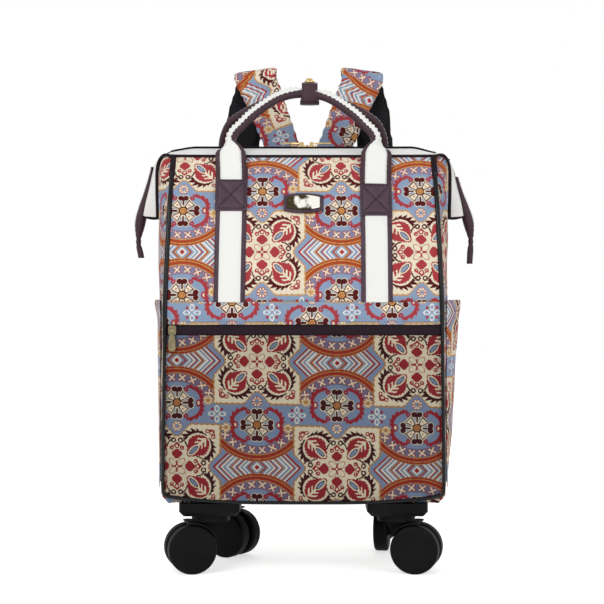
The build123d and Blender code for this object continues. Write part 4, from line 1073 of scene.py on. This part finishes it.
def makeHandle(name):
    look = handleLook[name]
    centre, rise = handleCentre(look)
    lengths = lengthsAlong(centre)
    joined = [p for p, run in zip(centre, lengths) if run > look["join"]]
    leg = [Vector((-x, y, z)) for x, y, z in look["start"]] + joined[::2]
    leg = leg[:-1] + [centre[-1]] if (leg[-1] - centre[-1]).length < 3 else leg + [centre[-1]]
    line = curveThrough(leg + mirrored(leg[:-1]), 1.5)
    total = lengthsAlong(line)
    length = total[-1]
    front = Vector((0, -1 if name == "front" else 1, 0))

    def rolled(i):
        run = min(total[i], length - total[i])
        return smoothStep(handleLook["rollLow"], handleLook["rollHigh"], run)

    def outAt(i):
        outward = Vector((0, rise.z, -rise.y)).cross(wayAhead(line, i))    # in the leaning plane
        if outward.z < 0 or (abs(outward.z) < 0.3 and outward.x * line[i].x < 0):
            outward.negate()
        share = smoothStep(0, 1, rolled(i))
        return front.lerp(outward * look["out"] + front * look["face"], share)

    frames = framesAlong(line, outAt)
    shape = newShape()

    def size(i):
        share = rolled(i)
        half = strapLook["leather"] + (handleLook["roll"] - strapLook["leather"]) * share
        thick = 1.2 + (handleLook["roll"] - 1.2) * share
        return share, half, thick

    def roll(i, run):
        share, half, thick = size(i)
        return loop(20, half, thick, 0.35 + 0.65 * share)

    def band(i, run):
        share, half, thick = size(i)
        clear = smoothStep(8, 19, abs(frames[i][0].x - wrapLook["x"])) if share > 0 else 1   # 0 inside the wrap
        beads = share * clear * (0.5 + 0.5 * math.sin(math.tau * run / handleLook["pucker"]
                                                      + 1.5 * noise.noise(Vector((run / 17, 7, 0)))))
        reach = strapLook["webbing"] + (handleLook["flatHalf"] - strapLook["webbing"]) * share
        reach += webbingEdge(run) * (1 - share) + 1.2 * beads * share
        outline = []
        for t in spread(-1, 1, 9):
            side = reach * t
            level = thick * math.sqrt(max(1 - (side / (half + 0.6)) ** 2, 0)) if share > 0.05 else thick
            level = thick * (1 - share) + level * share
            crown = 0.2 + 0.7 * clear + (0.7 * share * clear + 2.1 * beads) * (1 - t * t)
            outline.append((side, level + crown * (1 if abs(t) < 0.95 else 0.35)))
        for t in spread(1, -1, 5):
            side = reach * 0.96 * t
            outline.append((side, max(thick * math.sqrt(max(1 - (side / (half + 0.6)) ** 2, 0)), 0.2) - 0.6))
        return outline

    addSweep(shape, frames, roll, finish=0)
    addSweep(shape, frames, band, finish=1)
    for side in (-1, 1):
        edge = [f[0] + f[2] * side * (size(i)[1] - 1.6) + f[3] * (size(i)[2] + 0.02) for i, f in enumerate(frames)]
        flat = handleLook["rollLow"] - 3
        for run in ([p for p, at in zip(edge, total) if at < flat],
                    [p for p, at in zip(edge, total) if at > length - flat]):
            addStitches(shape, run, [frames[3][3]] * len(run), pitch=3.2, thick=0.36, finish=2)
    return makePiece(f"{name}Handle", shape, ["rolled", "webbing", "threadPlum"],
                     replaces=[f"{name}_handle"])


# Wrap: a leather band round both handles, stitched at its edges, held by a domed snap
wrapLook = {"x": 7.5, "width": 19, "y": -12.5, "halfDepth": 14.3, "low": 550.6, "high": 577.0, "wall": 2.2}


def makeWrap():
    shape = newShape()
    look = wrapLook
    middleZ, halfHigh = (look["low"] + look["high"]) / 2, (look["high"] - look["low"]) / 2
    outline = loop(48, 1, 1, 0.62)

    # a point of the wrap: x across it, a and b round it, grow off its surface; it widens towards its lower end
    def place(x, a, b, grow):
        return (look["x"] + x * look["width"] / 2 * (1 + 0.22 * smoothStep(0.3, 1, -b)),
                look["y"] + (look["halfDepth"] + grow) * a, middleZ + (halfHigh + grow) * b)

    inner = -look["wall"]
    rows = []
    for x, grow in ((-1, -1.0), (-0.97, -0.2), (-0.9, 0), (-0.78, -0.28), (-0.66, 0.1), (0, 0.35), (0.66, 0.1),
                    (0.78, -0.28), (0.9, 0), (0.97, -0.2), (1, -1.0), (1, inner), (0, inner), (-1, inner), (-1, -1.0)):
        rows.append([place(x, a, b, grow) for a, b in outline])
    addRows(shape, rows, ring=True)
    for x in (-0.78, 0.78):
        outs = [Vector((0, a, b)).normalized() for a, b in outline + outline[:1]]
        line = [Vector(place(x, a, b, 0)) - out * 0.25 for (a, b), out in zip(outline + outline[:1], outs)]
        addStitches(shape, line, outs, pitch=2.6, thick=0.4, finish=1)
    return makePiece("handleWrap", shape, ["rolled", "threadPlum"], replaces=["handle_wrap"])


# Badge backing: a leather barrel with a raised, rolled rim round the bare plate
badgeLook = {"half": 22.75, "halfHigh": 12.75, "bow": 3.0, "y": -82.7, "lean": 0.442}


def makeBadge():
    shape = newShape()
    look = badgeLook
    lean = look["lean"]
    size = math.hypot(1, lean)
    out = Vector((0, -1 / size, lean / size))
    up = Vector((0, lean / size, 1 / size))
    right = Vector((1, 0, 0))
    centre = Vector((0, look["y"], bag["badgeZ"])) + out * 0.3

    def barrel(grow):
        half, high = look["half"] + grow, look["halfHigh"] + grow
        points = [(-half + 2 * half * t, high - look["bow"] * (2 * t - 1) ** 2) for t in spread(0, 1, 18)]
        return points + [(a, -b) for a, b in reversed(points)]

    rows = []
    for grow, high in ((0, 0), (0.15, 0.8), (0, 1.6), (-0.5, 2.3), (-1.3, 2.7), (-2.1, 2.6), (-2.9, 2.1), (-3.6, 2.0),
                       (-8, 2.0), (-11.6, 2.0)):
        rows.append([tuple(centre + right * a + up * b + out * high) for a, b in barrel(grow)])
    addRows(shape, rows, ring=True)
    addCap(shape, rows[0])
    return makePiece("badgeBacking", shape, ["leather"], replaces=["badge_backing"])


# Mouth webbing: one strip along each side of the zip, which turns down over the corners and spreads on the flanks.
# Each pair is a point beside the zip and one at the binding, for the front strip's right half.
mouthLook = {
    "zipSide": [(0, -23.2, 496), (75, -23.2, 496), (148, -23.2, 496), (160, -22.4, 494), (170, -21.2, 489),
                (177.3, -20.5, 481.5), (180.6, -21, 470), (184.6, -23, 450), (189, -24.5, 430), (191.6, -25, 415.5)],
    "bindingSide": [(0, -54.2, 484.2), (75, -54.2, 484.2), (149, -54.2, 484.6), (0, -51.5, 486.2), (0, -46, 485.6),
                    (0, -39.5, 480), (0, -33, 469), (0, -29, 450), (0, -27.4, 430), (0, -26.8, 414.2)],
    "thick": 1.0, "swell": 0.9, "clear": 1.4, "count": 7,
}


# The two edges of a webbing strip, for the front (way -1) or the back (way 1). From its fourth point on, the
# binding's side follows the flank at the distance clear.
def mouthEdges(way):
    edges = []
    for key in ("zipSide", "bindingSide"):
        half = []
        for i, (x, y, z) in enumerate(mouthLook[key]):
            if key == "bindingSide" and i > 2:
                x = gussetX(y, min(z, bag["mouthZ"])) + mouthLook["clear"]
            elif key == "bindingSide" and way == 1:
                y += 6.2
            half.append(Vector((x, y if way == -1 else 2 * bag["ridgeY"] - y, z)))
        line = []
        for i in range(len(half) - 1):
            before, a, b, after = half[max(i - 1, 0)], half[i], half[i + 1], half[min(i + 2, len(half) - 1)]
            straight = i < 2
            count = 26 if straight else 9
            line += [a.lerp(b, k / count) if straight else onCurve(before, a, b, after, k / count)
                     for k in range(count)]
        line.append(half[-1].copy())
        edge = mirrored(line[1:]) + line
        if key == "zipSide":
            edge = [Vector((p.x, p.y, p.z - cornerDroop(p.x) * smoothStep(430, 484, p.z))) for p in edge]
        edges.append(edge)
    return edges


def makeMouthWebbing():
    shape = newShape()
    look = mouthLook
    for way in (-1, 1):
        near, far = mouthEdges(way)
        lengths = lengthsAlong(near)
        rows, cloth = [], []
        for i, (a, b) in enumerate(zip(near, far)):
            ahead = near[min(i + 1, len(near) - 1)] - near[max(i - 1, 0)]
            out = (b - a).cross(ahead).normalized()
            if out.y * way < 0:
                out.negate()
            over, under = [], []
            for t in spread(0, 1, look["count"]):
                wave = 0.45 * wrinkle(a.x, way * 30 + 40 * t, a.z, 24)
                rise = look["thick"] + (look["swell"] + wave) * 4 * t * (1 - t)
                over.append(tuple(a.lerp(b, t) + out * rise))
                under.append(tuple(a.lerp(b, t)))
            rows.append(over + under[::-1])
            width = (b - a).length
            across = [width * t for t in spread(0, 1, look["count"])]
            cloth.append([(u, lengths[i]) for u in across + across[::-1] + across[:1]])
        addRows(shape, rows, cloth, ring=True, caps=True)
    return makePiece("mouthWebbing", shape, ["webbing"], replaces=["mouth_bands", "wing_bands"])


# Binding: dark folded tape sewn over the lower edge of each webbing strip, and round the ends on the flanks
bindingLook = {"half": 1.8, "thick": 1.3, "endHalf": 0.9, "endThick": 0.8}


def makeBindings():
    shape = newShape()
    look = bindingLook
    for way in (-1, 1):
        near, far = mouthEdges(way)
        frames = framesAlong(far, lambda i: (0.6 * far[i].x / 180, way, 0.5))
        addSweep(shape, [(p + out * 0.9, ahead, side, out) for p, ahead, side, out in frames],
                 lambda i, run: loop(10, look["half"], look["thick"]))
        for end in (0, -1):
            a, b = near[end], far[end]
            foot = [b.lerp(a, t) + Vector((0, way * 0.9, -1.2 * (1 - (2 * t - 1) ** 2)))
                    for t in spread(-0.04, 1.04, 12)]
            addSweep(shape, framesAlong(foot, lambda i: (0, way, 0)),
                     lambda i, run: loop(8, look["endHalf"], look["endThick"]))
    return makePiece("edgeBindings", shape, ["edgeTape"])


# Top zip: tape with a raised coil down its middle, over the ridge and down onto each flank
topZipLook = {"path": [(0, 498.8), (75, 498.8), (148, 498.8), (160, 496.8), (170, 490.5), (177.2, 482.2),
                       (180.4, 471), (182.4, 460)]}     # x and z from the middle out


def makeTopZip():
    shape = newShape()
    half = [Vector((x, bag["ridgeY"], z)) for x, z in topZipLook["path"]]
    path = mirrored(half[1:]) + half
    line = [Vector((p.x, p.y, p.z - cornerDroop(p.x) * smoothStep(460, 488, p.z))) for p in curveThrough(path, 1.0)]
    frames = framesAlong(line, lambda i: (line[i].x / 180 * smoothStep(140, 182, abs(line[i].x)) * 2, 0, 1))

    def tape(i, run):
        return [(-9, -0.4), (-9, 0.3), (-3.4, 0.55), (3.4, 0.55), (9, 0.3), (9, -0.4)]

    def coil(i, run):
        ridge = 0.16 * math.sin(math.tau * run / 2.6)   # teeth 2.6 mm apart, coarser than real so that they show
        return [(-3.1, 0.4), (-2.9, 1.0 + ridge), (-1.2, 1.35 + ridge), (-0.25, 1.3 + ridge), (0, 1.0),
                (0.25, 1.3 - ridge), (1.2, 1.35 - ridge), (2.9, 1.0 - ridge), (3.1, 0.4)]

    addSweep(shape, frames, tape, finish=0)
    addSweep(shape, frames, coil, finish=1)
    return makePiece("topZip", shape, ["zipTape", "zipCoil"], replaces=["mouth_zip_tape"])


# Tabs: plum leather sewn over the ends of the zip, bowed out, pinched, and rolled at the end. inner, outer and
# depth are measured at the heights z; shift and lean move each flank's tab inwards further down.
tabLook = {
    "z": [476.5, 462, 444, 426, 412, 400, 391, 386, 380, 374, 362],
    "inner": [179.8, 182.0, 185.2, 188.6, 191.8, 195.4, 198.8, 200.8, 198.2, 197.8, 197.2],
    "outer": [182.2, 185.8, 191.8, 199.6, 204.8, 206.0, 205.2, 204.0, 205.6, 205.2, 204.2],
    "shift": {-1: 3.6, 1: 0.6}, "lean": {-1: 2.2, 1: 0},
    "top": {-1: 475, 1: 463}, "end": {-1: 366, 1: 359},
    "depth": [9.5, 10.6, 11, 11, 10.6, 8.6, 5.4, 3.5, 3.4, 3.3, 3.2],
}


def makeTabs():
    shape = newShape()
    look = tabLook
    levels = look["z"][::-1]
    for side in (-1, 1):
        rows, edges = [], ([], [])
        for z in spread(look["top"][side], look["end"][side], 80):
            below = look["z"][0] - z
            aside = look["shift"][side] * smoothStep(20, 90, below) + look["lean"][side] * smoothStep(92, 112, below)
            near = [sum(float(np.interp(z + d, levels, look[key][::-1])) for d in (-5, 0, 5)) / 3
                    for key in ("inner", "outer", "depth")]
            middle, thick, deep = (near[0] + near[1]) / 2 - aside, (near[1] - near[0]) / 2, near[2]
            crease = 0.35 * math.sin(z * 0.9) * math.exp(-((z - 388) / 10) ** 2)
            rows.append([(side * (middle + (thick + crease) * math.copysign(abs(math.sin(t)) ** 0.75, math.sin(t))),
                          bag["ridgeY"] + deep * math.copysign(abs(math.cos(t)) ** 0.6, math.cos(t)), z)
                         for t in [math.tau * k / 20 for k in range(20)]])
            if z > 400:
                for k, way in enumerate((-1, 1)):
                    edges[k].append(Vector((side * (near[1] - aside - 0.25), bag["ridgeY"] + way * (deep - 2.2), z)))
        addRows(shape, rows, ring=True, caps=True)
        for edge in edges:
            addStitches(shape, edge, [(side, 0, 0)] * len(edge), pitch=3, thick=0.4, finish=1)
    return makePiece("wingTabs", shape, ["rolled", "threadPlum"], replaces=["wing_tabs"])


# Snap on top of the wrap: a gold cap with a rolled rim
studLook = {"rings": [(5.4, 576.4), (6.4, 577.0), (6.8, 578.0), (6.4, 579.2), (5.6, 579.7),
                      (5.1, 579.5), (4.6, 580.1), (4.2, 581.8), (2.6, 582.8), (0.5, 583.2)]}     # radius and z


def makeStud():
    shape = newShape()
    rows = [[(wrapLook["x"] + a, wrapLook["y"] + b, z) for a, b in loop(32, r, r)] for r, z in studLook["rings"]]
    addRows(shape, rows, ring=True, caps=True)
    return makePiece("wrapSnap", shape, ["gold"], replaces=["wrap_stud"])


print("cloth pieces")
makeBagBody()
makePocket()
makeFrontPiping()
makePlacket()
makePocketZip()
makeSidePocket("left")
makeSidePocket("right")
leftStrap = makeFrontStrap("left", -84, 0.013)
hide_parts("front_straps")
makeFrontStrap("right", 84, -0.002)
makePatches()
makeHandle("front")
makeHandle("rear")
makeWrap()
makeBadge()
makeMouthWebbing()
makeBindings()
makeTopZip()
makeTabs()
makeStud()


swellLook = {"pressure": 4.0, "frames": 20, "quality": 5}


# Swells a closed soft piece: even voxels, then cloth with air pressure in it, each point moving no further than cap
def inflate(piece, voxel, cap):
    remesh = piece.modifiers.new("voxels", "REMESH")
    remesh.mode = "VOXEL"
    remesh.voxel_size = voxel * mm
    takeMesh(piece)
    rest = np.array([v.co for v in piece.data.vertices])
    cloth = piece.modifiers.new("cloth", "CLOTH")
    cloth.settings.use_pressure = True
    cloth.settings.uniform_pressure_force = swellLook["pressure"]
    cloth.settings.effector_weights.gravity = 0
    cloth.settings.quality = swellLook["quality"]
    cloth.point_cache.frame_start = 1
    cloth.point_cache.frame_end = swellLook["frames"]
    for step in range(1, swellLook["frames"] + 1):
        bpy.context.scene.frame_set(step)
    takeMesh(piece)
    moved = np.array([v.co for v in piece.data.vertices]) - rest
    far = np.linalg.norm(moved, axis=1)
    held = rest + moved * np.minimum(1, cap * mm / np.maximum(far, 1e-9))[:, None]
    piece.data.vertices.foreach_set("co", held.astype(np.float32).ravel())
    bpy.context.scene.frame_set(1)


# Puts the modifiers' result into the piece's own mesh
def takeMesh(piece):
    bpy.context.view_layer.update()
    made = bpy.data.meshes.new_from_object(piece.evaluated_get(bpy.context.evaluated_depsgraph_get()))
    piece.modifiers.clear()
    piece.data = made


# Swells a padded piece, smooths it and gives it back its materials, which the voxels drop
def padOut(piece, look, finishNames):
    inflate(piece, look["voxel"], look["cap"])
    subdivide = piece.modifiers.new("subdivide", "SUBSURF")
    subdivide.levels = subdivide.render_levels = 1
    takeMesh(piece)
    piece.data.materials.clear()
    for finishName in finishNames:
        piece.data.materials.append(finishes[finishName])


# Shoulder straps: foam between patterned cloth and black mesh, rising behind the bag and folding back down
shoulderLook = {
    "left": {"root": -25.0, "top": -60.2, "low": -118.0},
    "right": {"root": 38.6, "top": 75.4, "low": 125.0},
    "rootZ": 431.2, "bendZ": 505, "lowZ": 205,
    "riseY": 79.5, "foldY": 90.5, "foldR": 11, "foldZ": 596.5,
    "width": 51.5, "lowWidth": 40.5, "flare": 2.6, "thick": 6.6, "voxel": 4, "cap": 1.6,
}


# A strap's middle line: up from its root, over the fold and down the back
def shoulderLine(look):
    rise, fold, radius = shoulderLook["riseY"], shoulderLook["foldY"], shoulderLook["foldR"]
    bend, high, low = shoulderLook["bendZ"], shoulderLook["foldZ"], shoulderLook["lowZ"]
    line = [(look["root"], rise, z) for z in spread(shoulderLook["rootZ"], bend, 14)]
    line += [(look["root"] + (look["top"] - look["root"]) * t, rise, bend + (high - bend) * t)
             for t in spread(0, 1, 18)[1:]]
    for t in spread(0, math.pi, 12)[1:]:
        line.append((look["top"], fold - radius * math.cos(t), high + radius * math.sin(t)))
    for t in spread(0, 1, 60)[1:]:
        z = high - (high - low) * t
        y = fold + radius + (4 * min(t / 0.5, 1) if t < 0.5 else 4 - 12.1 * (t - 0.5) / 0.5)
        bow = math.copysign(6, look["low"]) * smoothStep(0, 0.13, t) * (1 - smoothStep(0.35, 1, t))
        line.append((look["top"] + (look["low"] - look["top"]) * t + bow, y, z + (1 if t == 1 else 0)))
    return [Vector(p) for p in line]


def makeShoulderStrap(name):
    look = shoulderLook[name]
    line = shoulderLine(look)
    foldY, foldZ, thick = shoulderLook["foldY"], shoulderLook["foldZ"], shoulderLook["thick"] / 2
    rows = []
    for i, point in enumerate(line):
        share = smoothStep(foldZ, shoulderLook["lowZ"], point.z) if point.y > foldY else 0
        half = (shoulderLook["width"] + (shoulderLook["lowWidth"] - shoulderLook["width"]) * share) / 2
        half += shoulderLook["flare"] * smoothStep(500, 590, point.z)
        tilt = math.copysign(0.14, -look["low"]) * smoothStep(550, 600, point.z)
        across = Vector((math.cos(tilt), 0, math.sin(tilt)))
        out = across.cross(wayAhead(line, i)).normalized()
        rows.append([tuple(point + across * half * a + out * thick * b) for a, b in loop(28, 1, 1, 0.3)])
    shape = newShape()
    addRows(shape, rows, ring=True, caps=True)
    finishNames = ["tapestryUpper", "airMesh"]
    piece = makePiece(f"shoulderStrap.{name}", shape, finishNames,
                      replaces=[f"shoulder_strap_{name}"])
    padOut(piece, shoulderLook, finishNames)
    mesh = piece.data
    # the pattern's place at each point: how far it lies beside and along the middle line
    centres, lengths = np.array([tuple(p) for p in line]), lengthsAlong(line)
    beside, along = tapestryPlace[f"strap.{name}"]
    places = []
    for vertex in mesh.vertices:
        point = vertex.co / mm
        near = int(np.argmin(((centres - np.array(point)) ** 2).sum(1)))
        places.append((point.x - line[near].x + beside,
                       lengths[near] + (point - line[near]).dot(wayAhead(line, near)) + along))
    layer = mesh.uv_layers.new(name="cloth")
    for corner in mesh.loops:
        layer.data[corner.index].uv = places[corner.vertex_index]
    for face in mesh.polygons:
        middle = face.center / mm
        outward = Vector((0, middle.y - foldY, max(middle.z - foldZ, 0)))
        face.material_index = 0 if face.normal.dot(outward.normalized()) > -0.45 else 1
    mesh.shade_smooth()
    return piece


# Back panel: foam under spacer mesh, quilted by sewn channels after it has swollen
padLook = {
    "half": 135, "low": 95, "high": 430, "near": 74.4, "thick": 8.6, "corner": 24, "voxel": 5, "cap": 2.2,
    # sewn channels: x of the upright ones, z of the level ones, and how far in from the rim the last one runs
    "upright": (-45, 45), "level": (178, 262, 346), "rim": 9, "groove": 3.2,
}


def makeBackPad():
    shape = newShape()
    look = padLook
    middle, reach = (look["low"] + look["high"]) / 2, (look["high"] - look["low"]) / 2
    outline = []
    for cornerX, cornerZ, start in ((1, 1, 0), (-1, 1, 90), (-1, -1, 180), (1, -1, 270)):
        for k in range(9):
            t = math.radians(start + 90 * k / 8)
            inner = look["corner"]
            outline.append((cornerX * (look["half"] - 1 - inner) + inner * math.cos(t),
                            middle + cornerZ * (reach - 1 - inner) + inner * math.sin(t)))
    rows = []
    for shrink, y in ((0.94, look["near"]), (0.985, look["near"]), (1, look["near"] + 2),
                      (1, look["near"] + look["thick"] - 3), (0.985, look["near"] + look["thick"]),
                      (0.94, look["near"] + look["thick"])):
        rows.append([(x * shrink, y, middle + (z - middle) * shrink) for x, z in outline])
    addRows(shape, rows, ring=True, caps=True)
    piece = makePiece("backPad", shape, ["airMesh"], replaces=["back_panel"])
    padOut(piece, look, ["airMesh"])
    for vertex in piece.data.vertices:
        x, y, z = vertex.co / mm
        if y > look["near"] + look["thick"] / 2:
            edge = min(look["half"] - abs(x), z - look["low"], look["high"] - z)
            lines = [abs(x - c) for c in look["upright"]] + [abs(z - c) for c in look["level"]]
            lines.append(abs(edge - look["rim"]))
            dip = look["groove"] * math.exp(-(min(lines) / 3.4) ** 2)
            vertex.co.y = min(vertex.co.y, (look["near"] + look["thick"] + 2.0) * mm) - dip * mm
    piece.data.shade_smooth()
    return piece


print("padded pieces")
makeShoulderStrap("left")
makeShoulderStrap("right")
makeBackPad()

# CAD nodes that stay as they are: each listed node gets its finish, and some get a small rounding where edges catch the
# light
nodeFinishes = {
    "back_piping": "piping", "mouth_frames": "steel", "base_tray": "nylon",
    "badge_plate": "plate", "top_slider_left": "gold", "top_slider_right": "gold",
    "top_pull_left": "gold", "top_pull_right": "gold", "pocket_slider": "goldInDarkReflection", "pocket_pull": "goldInDarkReflection",
    "strap_buckles": "nylon", "lower_straps": "blackWebbing", "caster_housings": "nylon", "caster_screws": "steel",
    "trolley_feet": "nylon", "trolley_outer_tubes": "aluminium", "trolley_middle_tubes": "aluminium",
    "trolley_inner_tubes": "aluminium", "trolley_bezel": "nylon", "trolley_grip": "nylon", "trolley_button": "button",
    "wheel": "wheel", "fork": "nylon", "axle": "steel",     # for every node whose name starts so
}
rounded = {"badge_plate": 0.4, "top_slider_left": 0.3, "top_slider_right": 0.3, "pocket_slider": 0.3,
           "top_pull_left": 0.25, "top_pull_right": 0.25, "pocket_pull": 0.25, "trolley_bezel": 0.6,
           "strap_buckles": 0.5}
for name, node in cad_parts.items():
    look = nodeFinishes.get(name) or nodeFinishes.get(name.split("_")[0])
    if look:
        node.data.materials.clear()
        node.data.materials.append(finishes[look])
    if name in rounded:
        bevel = node.modifiers.new("softEdges", "BEVEL")
        bevel.width = rounded[name] * mm
        bevel.segments = 2
        bevel.limit_method = "ANGLE"
print("frame pieces finished")


# Pale floor that keeps the shadow, white behind, soft studio lamps
stageLook = {
    "floor": "#F2F2F0", "glow": 0.62, "world": 0.45,
    "lamps": {
        "key": {"at": (-1.1, -1.9, 1.5), "size": 1.3, "power": 25},
        "fill": {"at": (1.5, -1.6, 0.9), "size": 1.4, "power": 12},
        "rear": {"at": (0.3, 1.6, 1.6), "size": 1.2, "power": 11},
    },
    "camera": {"at": (-0.0017, -1.8045, 0.313), "lens": 88.6, "sensor": 36.0},
}


def cameraShare(tree):
    path = addNode(tree, "ShaderNodeLightPath")
    return writeFormula(tree, "min(seen + mirrored + through, 1)", {
        "seen": path.outputs["Is Camera Ray"], "mirrored": path.outputs["Is Glossy Ray"],
        "through": path.outputs["Is Transmission Ray"]})


def makeStage():
    mesh = bpy.data.meshes.new("studioFloor")
    mesh.from_pydata([(-4, -4, 0), (4, -4, 0), (4, 6, 0), (-4, 6, 0)], [], [(0, 1, 2, 3)])
    floor = bpy.data.objects.new("studioFloor", mesh)
    bpy.context.scene.collection.objects.link(floor)
    material, tree = newMaterial("seamlessPaper")
    share = cameraShare(tree)
    paper = addNode(tree, "ShaderNodeBsdfDiffuse", {0: hexColour(stageLook["floor"])}).outputs[0]
    glow = addNode(tree, "ShaderNodeEmission", {0: (1, 1, 1, 1), 1: stageLook["glow"]}).outputs[0]
    lit = addNode(tree, "ShaderNodeAddShader", {0: paper, 1: glow}).outputs[0]
    surface = addNode(tree, "ShaderNodeMixShader", {0: share, 1: paper, 2: lit}).outputs[0]
    addNode(tree, "ShaderNodeOutputMaterial", {0: surface})
    mesh.materials.append(material)

    world = bpy.data.worlds.new("studio")
    world.use_nodes = True
    world.node_tree.nodes.clear()
    seen = cameraShare(world.node_tree)
    dim = addNode(world.node_tree, "ShaderNodeBackground", {0: (1, 1, 1, 1), 1: stageLook["world"]}).outputs[0]
    white = addNode(world.node_tree, "ShaderNodeBackground", {0: (1, 1, 1, 1), 1: 1.0}).outputs[0]
    mixed = addNode(world.node_tree, "ShaderNodeMixShader", {0: seen, 1: dim, 2: white}).outputs[0]
    addNode(world.node_tree, "ShaderNodeOutputWorld", {0: mixed})
    bpy.context.scene.world = world

    for name, look in stageLook["lamps"].items():
        lamp = bpy.data.lights.new(name, "AREA")
        lamp.size = look["size"]
        lamp.energy = look["power"]
        holder = bpy.data.objects.new(name, lamp)
        holder.location = look["at"]
        holder.rotation_euler = (Vector((0, 0, 0.3)) - Vector(look["at"])).to_track_quat("-Z", "Y").to_euler()
        bpy.context.scene.collection.objects.link(holder)

    look = stageLook["camera"]
    camera = bpy.data.cameras.new("front")
    camera.lens = look["lens"]
    camera.sensor_width = look["sensor"]
    holder = bpy.data.objects.new("front", camera)
    holder.location = look["at"]
    holder.rotation_euler = (math.radians(90), 0, 0)
    bpy.context.scene.collection.objects.link(holder)
    bpy.context.scene.camera = holder
    bpy.context.scene.view_settings.view_transform = "Standard"


makeStage()
print("stage set")
